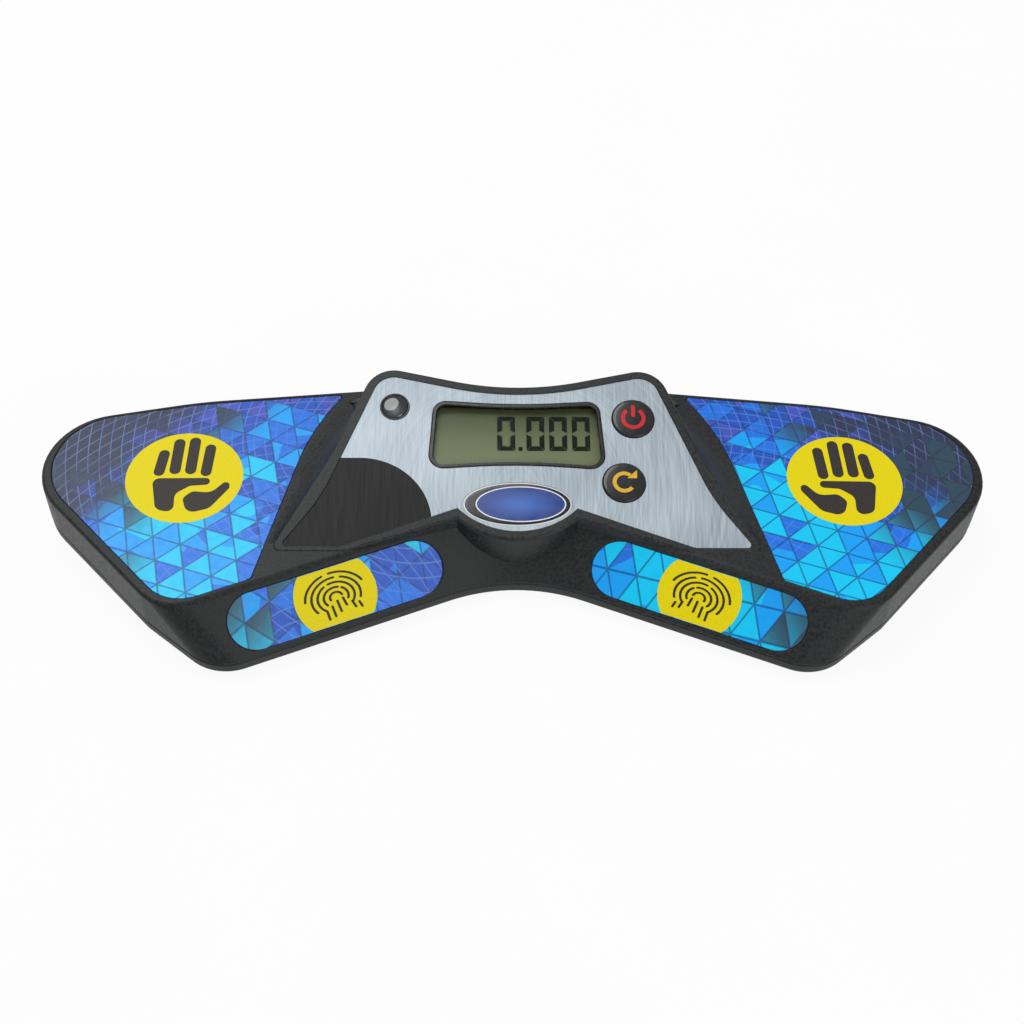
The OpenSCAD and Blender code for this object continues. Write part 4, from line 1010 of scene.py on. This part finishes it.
class TIMER_OT_lower_case(bpy.types.Operator):
    """Lower case with its rounded underside, door seat, sockets and holes"""

    bl_idname = "timer.lower_case"
    bl_label = "Lower case"

    def execute(self, context):
        outline = case_corners(PART_Z)
        low_edge = 1.6
        rings = stack(outline, *((low_edge * share + 0.1, BASE_Z + low_edge * (1 - rise))
                                 for share, rise in reversed(quarter(6))))
        rings += stack(outline, (0.1, PART_Z - 0.75), (0.4, PART_Z - 0.45), (0.5, PART_Z - 0.02))
        base = blank("lower_shell", loft(rings), Matrix.Diagonal((TRIM, TRIM, 1, 1)))
        carve(base, slab(rounded(inset(outline, WALL)), BASE_Z + 2, 20))
        lip = soften(inset(case_corners(ROOM_TOP), WALL + 0.15), 3)
        wall = blank("lip", slab(rounded(lip), BASE_Z + 1.9, PART_Z + 1.5))
        carve(wall, slab(rounded(soften(inset(case_corners(ROOM_TOP), WALL + 1.35), 2)), 0, 20))
        carve(wall, slab(oblong(-5, 5, 0, 60), 0, 20))
        carve(base, melt(wall), None, "UNION")

        def box(x0, x1, y0, y1, z0, z1, operation="DIFFERENCE"):
            carve(base, slab(oblong(x0, x1, y0, y1), z0, z1), None, operation)

        def post(x, y, r, z0, z1, operation="DIFFERENCE", steps=64):
            carve(base, slab(circle(r, (x, y), steps), z0, z1), None, operation)

        bay_top = CELL_Z + 5.6
        box(-BAY_X - 1.2, BAY_X + 1.2, BAY_Y - BAY_HALF - 1.2, BAY_Y + BAY_HALF + 1.2, 2, bay_top + 1.1, "UNION")
        for y in (35.2, 41.2):
            box(-6, 6, y, y + 1.4, 2.5, JACK_Z + 0.99, "UNION")
        for side in (-1, 1):
            for x, y in SCREWS:
                post(side * x, y, POST_R, 2, PART_Z + 0.3, "UNION")
            post(side * MAT_SOCKET[0], MAT_SOCKET[1], MAT_BOSS_R, 1.5, 7.8, "UNION")
        box(-BAY_X, BAY_X, BAY_Y - BAY_HALF, BAY_Y + BAY_HALF, 0, bay_top)
        pin_y = BAY_Y - BAY_HALF - 0.4
        rear = BAY_Y + BAY_HALF + 1.6
        box(-DOOR_HALF, DOOR_HALF, pin_y, rear + 0.2, 0, BASE_Z + 1.8)
        box(-DOOR_HALF, DOOR_HALF, pin_y - 1, pin_y + 1, 0, 2.75)
        box(-4.6, 4.6, 35, 43, 5.3, 20)
        carve(base, slab(circle(PIN_R, steps=32), -PIN_HALF, PIN_HALF),
              Matrix.Translation((0, pin_y, PIN_Z)) @ spun(90, "Y"))
        dome = spin([(0, -1), (0.9, -0.9), (1.7, -0.6), (2.4, 0), (1.7, 0.6), (0.9, 0.9), (0, 1)], 48)
        carve(base, dome, Matrix.Translation((0, rear + 1, BASE_Z)) @ Matrix.Diagonal((3, 1, 1.2, 1)))
        for side in (-1, 1):
            post(side * MAT_SOCKET[0], MAT_SOCKET[1], MAT_BORE_R, 0, 6)
            for x, y in SCREWS:
                post(side * x, y, SCREW_R, 0, 20)
                post(side * x, y, 2.7, 0, 3.4)
            for x, y in FEET:
                post(side * x, y, 5.05, 0, BASE_Z + 0.8)
        finished(base, None, "case", "base", ("lower_case",))
        return {"FINISHED"}


def film(name, make_outline, low, high, place, rounding=0.12):
    """A thin printed sheet with a softened upper edge."""
    steps = ((0, low), (0, high - rounding), (0.3, high - 0.3 * rounding), (1, high))
    return piece(name, loft([raised(make_outline(PAD_GAP + share * rounding), z) for share, z in steps]), place)


class TIMER_OT_pads(bpy.types.Operator):
    """Printed palm and finger pads in their recesses"""

    bl_idname = "timer.pads"
    bl_label = "Touch pads"

    def execute(self, context):
        for side, word in ((-1, "left"), (1, "right")):
            palm = film(word + "_palm_film", lambda d: rounded(inset(palm_corners(), d)),
                        WING_Z - PAD_SINK, WING_Z - PAD_SINK + PAD_T, side_place(side))
            shade(palm)
            settle(palm, "case", "print", (word + "_palm_pad",))
            finger = film(word + "_finger_film", finger_outline, -PAD_SINK, PAD_T - PAD_SINK, band_place(side))
            shade(finger)
            settle(finger, "case", "print", (word + "_finger_pad",))
        return {"FINISHED"}


def open_hand():
    """Outlines of a plain open hand, fingers up and thumb to the right, about 22 mm tall."""
    fingers = [capsule((-6.0, 1.6), (-5.4, 7.0), 1.25), capsule((-2.4, 2.2), (-2.2, 10.4), 1.3),
               capsule((1.2, 2.2), (1.4, 10.9), 1.3), capsule((4.8, 1.6), (5.2, 8.8), 1.25)]
    heel = rounded([(-7.4, -0.4, 1.6), (-5.6, -9.6, 2.2), (-1.4, -10.6, 1.6), (-1.7, -5.0, 2.4), (1.5, -2.6, 2.0),
                    (5.9, -2.2, 1.0), (6.0, -0.2, 1.0)], 8)
    thumb = rounded([(0.2, -6.3, 1.6), (2.2, -4.2, 1.8), (6.6, -4.6, 3.0), (9.3, -1.4, 0.9), (10.6, -1.6, 0.9),
                     (10.6, -3.2, 1.0), (6.6, -9.2, 3.0), (1.6, -10.8, 2.2)], 8)
    return fingers + [heel, thumb]


def finger_marks():
    """Outlines of rounded ridges round one core, like the print of a finger."""
    width = 0.62
    bands = [arc_band(1.5, width, -20, 170), arc_band(3.0, width, -35, 110), arc_band(3.0, width, 128, 205),
             arc_band(4.5, width, -48, 60), arc_band(4.5, width, 76, 214), arc_band(6.0, width, -30, 96),
             arc_band(6.0, width, 112, 200), arc_band(7.5, width, 8, 74), arc_band(7.5, width, 88, 158)]
    legs = [capsule((-1.5, -0.8), (-1.9, -3.2), width / 2), capsule((0, -1.2), (-0.3, -4.6), width / 2),
            capsule((1.5, -2.4), (1.3, -5.6), width / 2), capsule((3.0, -3.6), (2.9, -6.0), width / 2),
            capsule((-3.4, -2.6), (-3.9, -4.6), width / 2), capsule((-5.0, -3.4), (-5.4, -5.0), width / 2)]
    return [[Vector((1.28 * p[0], p[1])) for p in outline] for outline in bands + legs]


def slabs(name, outlines, low, high, place, scale=1.0, at=(0, 0)):
    """Several thin flat shapes in one piece."""
    bm = bmesh.new()
    for outline in outlines:
        slab([Vector((at[0] + scale * p[0], at[1] + scale * p[1])) for p in outline], low, high, bm)
    return piece(name, bm, place)


class TIMER_OT_pad_marks(bpy.types.Operator):
    """Yellow discs with plain hand and finger marks on the pads"""

    bl_idname = "timer.pad_marks"
    bl_label = "Pad marks"

    def execute(self, context):
        shape = context.scene.timer_shape
        top = WING_Z - PAD_SINK + PAD_T
        band_top = PAD_T - PAD_SINK
        reach = FINGER_W / 2 - PAD_GAP - 0.16
        for side, word in ((-1, "left"), (1, "right")):
            disc = slabs(word + "_palm_disc", [circle(shape.palm_disc, (DISC_X, DISC_Y), 144)],
                         top - 0.01, top + 0.03, side_place(side))
            settle(disc, "case", "yellow")
            place = Matrix.Translation((side * DISC_X, DISC_Y, 0)) @ side_place(-side)
            hand = slabs(word + "_hand_mark", open_hand(), top + 0.02, top + 0.06, place, 1.33)
            settle(hand, "case", "dark_ink")
            ring = [Vector((p.x, FINGER_V + max(-reach, min(reach, p.y - FINGER_V))))
                    for p in circle(shape.finger_disc, (MARK_X, FINGER_V), 240)]
            spot = slabs(word + "_finger_disc", [ring], band_top - 0.01, band_top + 0.03, band_place(side))
            settle(spot, "case", "yellow")
            marks = slabs(word + "_finger_mark", finger_marks(), band_top + 0.02, band_top + 0.06,
                          band_place(side), 0.98, (MARK_X, FINGER_V - 0.6))
            settle(marks, "case", "dark_ink")
        return {"FINISHED"}


class TIMER_OT_label(bpy.types.Operator):
    """Brushed label of the fascia and the oval plate on it"""

    bl_idname = "timer.label"
    bl_label = "Fascia label and plate"

    def execute(self, context):
        place = fascia_place()
        low, high = -LABEL_SINK, -LABEL_SINK + 0.5
        label = blank("brushed_label", slab(label_outline(0.1), low, high))
        carve(label, slab(rounded(inset(both(LCD_RIGHT), -0.1)), -4, 4))
        carve(label, slab(ellipse(BADGE_A + PLATE_HOLE, BADGE_B + PLATE_HOLE, (0, BADGE_V)), -4, 4))
        for at, r in ((POWER, BUTTON_R + BUTTON_GAP), (RESET, BUTTON_R + BUTTON_GAP), (LENS, LENS_R + PLATE_HOLE)):
            carve(label, slab(circle(r, at), -4, 4))
        finished(label, place, "case", "label", ("fascia_label",))
        steps = [(0, -1.2), (0, -0.42)] + [(1.4 * share, -0.42 + 0.22 * rise) for share, rise in quarter(6, 1)]
        rings = [raised(ellipse(BADGE_A - d, BADGE_B - d, (0, BADGE_V)), w) for d, w in steps]
        plate = piece("oval_plate", loft(rings), place)
        shade(plate)
        settle(plate, "case", "badge", ("badge_plate",))
        return {"FINISHED"}


def zero_segments(x, v, height):
    """Outlines of the six bars of a zero whose lower left corner is at x, v."""
    width, thick, gap = height * 0.47, height * 0.135, 0.14
    half, inner = height / 2, thick * 0.85
    bars = []
    for outer_y, inner_y in ((v + height, v + height - thick), (v, v + thick)):
        bars.append([(x + gap, outer_y), (x + inner + gap, inner_y), (x + width - inner - gap, inner_y),
                     (x + width - gap, outer_y)])
    for x_out, x_in in ((x, x + thick), (x + width, x + width - thick)):
        bars.append([(x_out, v + half + gap * 1.6), (x_out, v + height - gap), (x_in, v + height - gap - thick),
                     (x_in, v + half + gap * 1.6 + thick * 0.55)])
        bars.append([(x_out, v + gap), (x_out, v + half - gap * 1.6), (x_in, v + half - gap * 1.6 - thick * 0.55),
                     (x_in, v + gap + thick)])
    return [[Vector(p) for p in bar] for bar in bars]


class TIMER_OT_display(bpy.types.Operator):
    """Display frame, window, crystal panel, digits, holder and connector strips"""

    bl_idname = "timer.display"
    bl_label = "Display"

    def execute(self, context):
        place = fascia_place()
        lcd = both(LCD_RIGHT)
        rings = stack(lcd, (0.05, -CEILING), (0.05, -0.55),
                      *((0.05 + 0.35 * share, -0.55 + 0.35 * rise) for share, rise in quarter(5, 1)))
        bezel = blank("display_frame", loft(rings))
        carve(bezel, loft(stack(lcd, (1.3, -4), (1.3, -0.5), (1.0, -0.1), (1.0, 2))))
        carve(bezel, slab(rounded(inset(lcd, 0.7)), -4, -1))
        finished(bezel, place, "case", "bezel", ("lcd_bezel",))
        window = piece("display_window", slab(rounded(inset(lcd, 0.75)), -2.2, -1.01), place)
        shade(window)
        settle(window, "case", "window", ("lcd_window",))
        height = context.scene.timer_shape.digit_height
        outlines = [bar for x in DIGITS_X for bar in zero_segments(x, DIGIT_V, height)]
        outlines.append(rounded([(p.x, p.y, 0.2) for p in oblong(0.55, 1.85, DIGIT_V, DIGIT_V + 1.3)], 4))
        digits = slabs("display_digits", outlines, -2.96, -2.91, place)
        settle(digits, "case", "segments")
        for node, look in (("lcd_panel", "panel"), ("lcd_holder", "inner"), ("lcd_connector", "strip")):
            dress(node, look)
        return {"FINISHED"}


def cap_height(r):
    """Height of a button cap's soft face at the radius r."""
    return 0.4 - 0.15 * (r / (BUTTON_R - 0.5)) ** 2


def ring_strip(r, width, start, end, low, high, bm, steps=48):
    """A flat ring part with square ends, angles in degrees."""
    rows = []
    for k in range(steps + 1):
        a = math.radians(start + (end - start) * k / steps)
        ends = oblong(r - width / 2, r + width / 2, low, high)
        rows.append([bm.verts.new((*polar(q, a), z)) for q, z in ends])
    for one, two in zip(rows, rows[1:]):
        for i in range(4):
            bm.faces.new((one[i], one[(i + 1) % 4], two[(i + 1) % 4], two[i]))
    bm.faces.new(rows[0])
    bm.faces.new(list(reversed(rows[-1])))


def on_cap(name, ring, outlines, at):
    """A printed ring part (radius, width, start, end) and flat shapes on a cap's soft face."""
    bm = bmesh.new()
    ring_strip(*ring, -0.06, 0.035, bm)
    for outline in outlines:
        slab(outline, -0.06, 0.035, bm)
    for vert in bm.verts:
        vert.co.z += cap_height(vert.co.xy.length)
    return piece(name, bm, fascia_place(*at))


class TIMER_OT_buttons(bpy.types.Operator):
    """Two button caps with their printed signs, plungers and switches"""

    bl_idname = "timer.buttons"
    bl_label = "Buttons"

    def execute(self, context):
        flange = -CEILING - 0.2
        stem = 0.5 + 3.5 - BOARD_DEPTH + 0.05
        for word, at in (("power", POWER), ("reset", RESET)):
            edge = [(BUTTON_R, flange), (BUTTON_R, -0.3)]
            edge += [(BUTTON_R - 0.5 * share, -0.3 + 0.55 * rise) for share, rise in quarter(5, 1)]
            face = [(r, cap_height(r)) for r in ((BUTTON_R - 0.5) * (1 - k / 8) for k in range(1, 8))]
            cap = spin([(0, stem), (1.7, stem), (1.7, flange - 0.7), (BUTTON_R + 0.9, flange - 0.7),
                        (BUTTON_R + 0.9, flange)] + edge + face + [(0, 0.4)], 96)
            cap = piece(word + "_cap", cap, fascia_place(*at))
            shade(cap)
            settle(cap, word + "_key", "gloss", (word + "_button",))
            dress(word + "_plunger", "plunger")
            dress(word + "_switch", "inner")
        sign = on_cap("power_sign", (3.2, 1.2, 126, 414), [capsule((0, 0.9), (0, 4.0), 0.62)], POWER)
        settle(sign, "power_key", "red_ink")
        head = [Vector(p) for p in ((1.0, 1.3), (4.0, 1.3), (4.0, 4.1))]
        sign = on_cap("reset_sign", (2.95, 1.2, 50, 322), [head], RESET)
        settle(sign, "reset_key", "gold_ink")
        return {"FINISHED"}


class TIMER_OT_status_light(bpy.types.Operator):
    """Status lens with its collar and lamp"""

    bl_idname = "timer.status_light"
    bl_label = "Status light"

    def execute(self, context):
        place = fascia_place(*LENS)
        dome = [(LENS_R * math.cos(math.radians(a)), 0.9 * math.sin(math.radians(a)) - 0.2) for a in range(0, 90, 6)]
        lens = spin([(0, -CEILING), (1.8, -CEILING), (1.8, -CEILING - 0.9), (LENS_R + 0.8, -CEILING - 0.9),
                     (LENS_R + 0.8, -CEILING - 0.05), (LENS_R, -CEILING - 0.05)] + dome + [(0, 0.7)], 80)
        lens = piece("status_dome", lens, place)
        shade(lens, 40)
        settle(lens, "case", "lens", ("status_lens",))
        collar = bmesh.new()
        rows = []
        for k in range(12):
            a = math.tau * k / 12
            r, w = 4.3 + 0.32 * math.cos(a), -0.22 + 0.28 * math.sin(a)
            rows.append([collar.verts.new((p.x, p.y, w)) for p in circle(r, steps=80)])
        for k in range(12):
            for i in range(80):
                j = (i + 1) % 80
                collar.faces.new((rows[k][i], rows[k][j], rows[(k + 1) % 12][j], rows[(k + 1) % 12][i]))
        collar = piece("status_collar", collar, place)
        shade(collar, 80)
        settle(collar, "case", "gloss")
        dress("status_led", "led")
        return {"FINISHED"}


class TIMER_OT_board(bpy.types.Operator):
    """Main board with its chip, the chip's legs, small blocks and screws"""

    bl_idname = "timer.board"
    bl_label = "Main board"

    def execute(self, context):
        for node, look in (("main_board", "board"), ("controller_chip", "chip"), ("board_screws", "steel")):
            dress(node, look)
        tree, ids = grid_tree()
        legs = {"Width": 0.0096, "Depth": 0.0112, "Columns": 9, "Rows": 2, "Block": (0.0004, 0.0016, 0.0003),
                "Kept share": 1.0, "Seed": 1, "Finish": finish("nickel")}
        pins = grow("chip_legs", tree, ids, legs, fascia_place(0, 21, -BOARD_DEPTH + 0.16))
        settle(pins, "case", "nickel")
        blocks = {"Width": 0.012, "Depth": 0.008, "Columns": 5, "Rows": 4, "Block": (0.0016, 0.0008, 0.0006),
                  "Kept share": 0.7, "Seed": 4, "Finish": finish("chip")}
        for word, x, v, seed in (("left", -31, 12, 4), ("right", 21, 8.0, 9)):
            small = grow("board_parts_" + word, tree, ids, dict(blocks, Seed=seed),
                         fascia_place(x, v, -BOARD_DEPTH + 0.3))
            settle(small, "case", "chip")
        return {"FINISHED"}


class TIMER_OT_sensors(bpy.types.Operator):
    """Copper sensors under the pads"""

    bl_idname = "timer.sensors"
    bl_label = "Touch sensors"

    def execute(self, context):
        for word in ("left", "right"):
            dress(word + "_palm_sensor", "copper")
            dress(word + "_finger_sensor", "copper")
        return {"FINISHED"}


class TIMER_OT_battery_bay(bpy.types.Operator):
    """Cells, contact springs and plates, and the hinged door"""

    bl_idname = "timer.battery_bay"
    bl_label = "Battery bay"

    def execute(self, context):
        skin_copy("front_cell", "battery_front", 0.25, "sleeve")
        skin_copy("rear_cell", "battery_rear", 0.25, "sleeve")
        skin_copy("contact_plates", "battery_plates", 0.05, "nickel")
        tree, ids = spring_tree()
        wires = {"Base radius": 0.0032, "Tip radius": 0.0016, "Height": 0.0037, "Wire radius": 0.00024,
                 "Turns": 4.5, "Finish": finish("nickel")}
        coils = []
        for way in (-1, 1):
            place = (Matrix.Translation((-way * (BAY_X - 0.4), BAY_Y - way * 5.75, CELL_Z))
                     @ spun(way * 90, "Y") @ Matrix.Translation((0, 0, 0.26)))
            coil = grow("coil", tree, ids, wires, place)
            bm = bmesh.new()
            bm.from_mesh(coil.data)
            coils.append(bm)
            bpy.data.objects.remove(coil, do_unlink=True)
        mesh = bpy.data.meshes.new("second")
        coils[1].to_mesh(mesh)
        coils[0].from_mesh(mesh)
        coils[0].transform(Matrix.Scale(1 / MM, 4))
        springs = piece("contact_springs", coils[0])
        coils[1].free()
        bpy.data.meshes.remove(mesh)
        shade(springs, 60, False)
        settle(springs, "case", "nickel", ("battery_springs",))
        skin_copy("hinged_door", "battery_door", 0.12, "door", "door")
        return {"FINISHED"}


class TIMER_OT_small_parts(bpy.types.Operator):
    """Case screws, rubber feet and the data jack"""

    bl_idname = "timer.small_parts"
    bl_label = "Screws, feet and jack"

    def execute(self, context):
        skin_copy("cross_screws", "case_screws", 0.12, "steel")
        skin_copy("round_feet", "rubber_feet", 0.2, "rubber")
        skin_copy("jack_body", "data_jack", 0.15, "gloss")
        return {"FINISHED"}


class TIMER_OT_stage(bpy.types.Operator):
    """Camera, floor, world and lamps"""

    bl_idname = "timer.stage"
    bl_label = "Stage"

    def execute(self, context):
        scene = context.scene
        scene.view_settings.view_transform = "Standard"
        # camera at the photograph's viewing angle
        pitch, heading, roll = 51, -2.74, 2.37
        lens = bpy.data.cameras.new("view")
        lens.lens = 56.57
        lens.sensor_width = 36
        lens.sensor_fit = "HORIZONTAL"
        lens.clip_start = 0.01
        lens.clip_end = 20
        camera = bpy.data.objects.new("view", lens)
        camera.matrix_world = (Matrix.Translation(Vector((-16.3, -309.2, 399.3)) * MM) @ spun(heading, "Z")
                               @ spun(90 - pitch, "X") @ spun(roll, "Z"))
        scene.collection.objects.link(camera)
        scene.camera = camera
        # floor: white to the camera, still with the object's soft shadow
        floor = piece("floor", slab(circle(3000, steps=64), -2, 0))
        p = Paint("white_paper")
        material = p.done(p.ramp(p.grain(60), (0.2, "#ececec"), (0.8, "#f6f6f6")), 0.9, constants={SPECULAR: 0.1})
        glow = p.add("ShaderNodeEmission", {"Color": (1, 1, 1, 1), "Strength": 1.0})
        rays = p.add("ShaderNodeLightPath").outputs
        seen = Value(p.tree, rays["Is Camera Ray"]).step("MAXIMUM", rays["Is Glossy Ray"])
        seen = seen.step("MAXIMUM", rays["Is Transmission Ray"])
        both_ways = p.add("ShaderNodeMixShader", {0: seen * 0.92, 1: p.shader.outputs["BSDF"],
                                                  2: glow.outputs["Emission"]})
        fill(p.tree, p.output, {"Surface": both_ways.outputs["Shader"]})
        floor.data.materials.append(material)
        # world: soft grey light, white where it is seen or reflected
        world = bpy.data.worlds.new("studio")
        world.use_nodes = True
        tree = world.node_tree
        tree.nodes.clear()
        rays = add(tree, "ShaderNodeLightPath").outputs
        seen = Value(tree, rays["Is Camera Ray"]).step("MAXIMUM", rays["Is Transmission Ray"])
        sky = add(tree, "ShaderNodeBackground", {"Color": (1, 1, 1, 1), "Strength": seen * 0.53 + 0.47})
        add(tree, "ShaderNodeOutputWorld", {"Surface": sky.outputs["Background"]})
        scene.world = world
        # lamps: a broad one over the rear left, a lower one at the front right
        for name, place, size, power in (("top_softbox", (-0.35, 0.45, 1.1), 0.9, 7.0),
                                         ("front_softbox", (0.6, -0.9, 0.8), 0.8, 3.8)):
            lamp = bpy.data.lights.new(name, "AREA")
            lamp.shape = "DISK"
            lamp.size = size
            lamp.energy = power
            holder = bpy.data.objects.new(name, lamp)
            holder.location = place
            holder.rotation_euler = (-Vector(place)).to_track_quat("-Z", "Y").to_euler()
            scene.collection.objects.link(holder)
        return {"FINISHED"}


OPERATORS = [TIMER_OT_stage, TIMER_OT_upper_case, TIMER_OT_console, TIMER_OT_lower_case, TIMER_OT_pads,
             TIMER_OT_pad_marks, TIMER_OT_label, TIMER_OT_display, TIMER_OT_buttons, TIMER_OT_status_light,
             TIMER_OT_board, TIMER_OT_sensors, TIMER_OT_battery_bay, TIMER_OT_small_parts]


class TIMER_PT_pieces(bpy.types.Panel):
    """Buttons that make each group of pieces"""

    bl_idname = "TIMER_PT_pieces"
    bl_label = "Cube timer"
    bl_space_type = "VIEW_3D"
    bl_region_type = "UI"
    bl_category = "Timer"

    def draw(self, context):
        for settings in (context.scene.timer_shape, context.scene.timer_look):
            column = self.layout.column()
            for name in settings.bl_rna.properties.keys():
                if name not in ("rna_type", "name"):
                    column.prop(settings, name)
        for operator in OPERATORS:
            self.layout.operator(operator.bl_idname)


CLASSES = [TimerShape, TimerLook] + OPERATORS + [TIMER_PT_pieces]


def register():
    for each in CLASSES:
        bpy.utils.register_class(each)
    bpy.types.Scene.timer_shape = PointerProperty(type=TimerShape)
    bpy.types.Scene.timer_look = PointerProperty(type=TimerLook)


def unregister():
    del bpy.types.Scene.timer_look
    del bpy.types.Scene.timer_shape
    for each in reversed(CLASSES):
        bpy.utils.unregister_class(each)


def main():
    """Make every piece in order."""

    register()
    for operator in OPERATORS:
        group, name = operator.bl_idname.split(".")
        getattr(getattr(bpy.ops, group), name)()


if __name__ == "__main__":
    main()
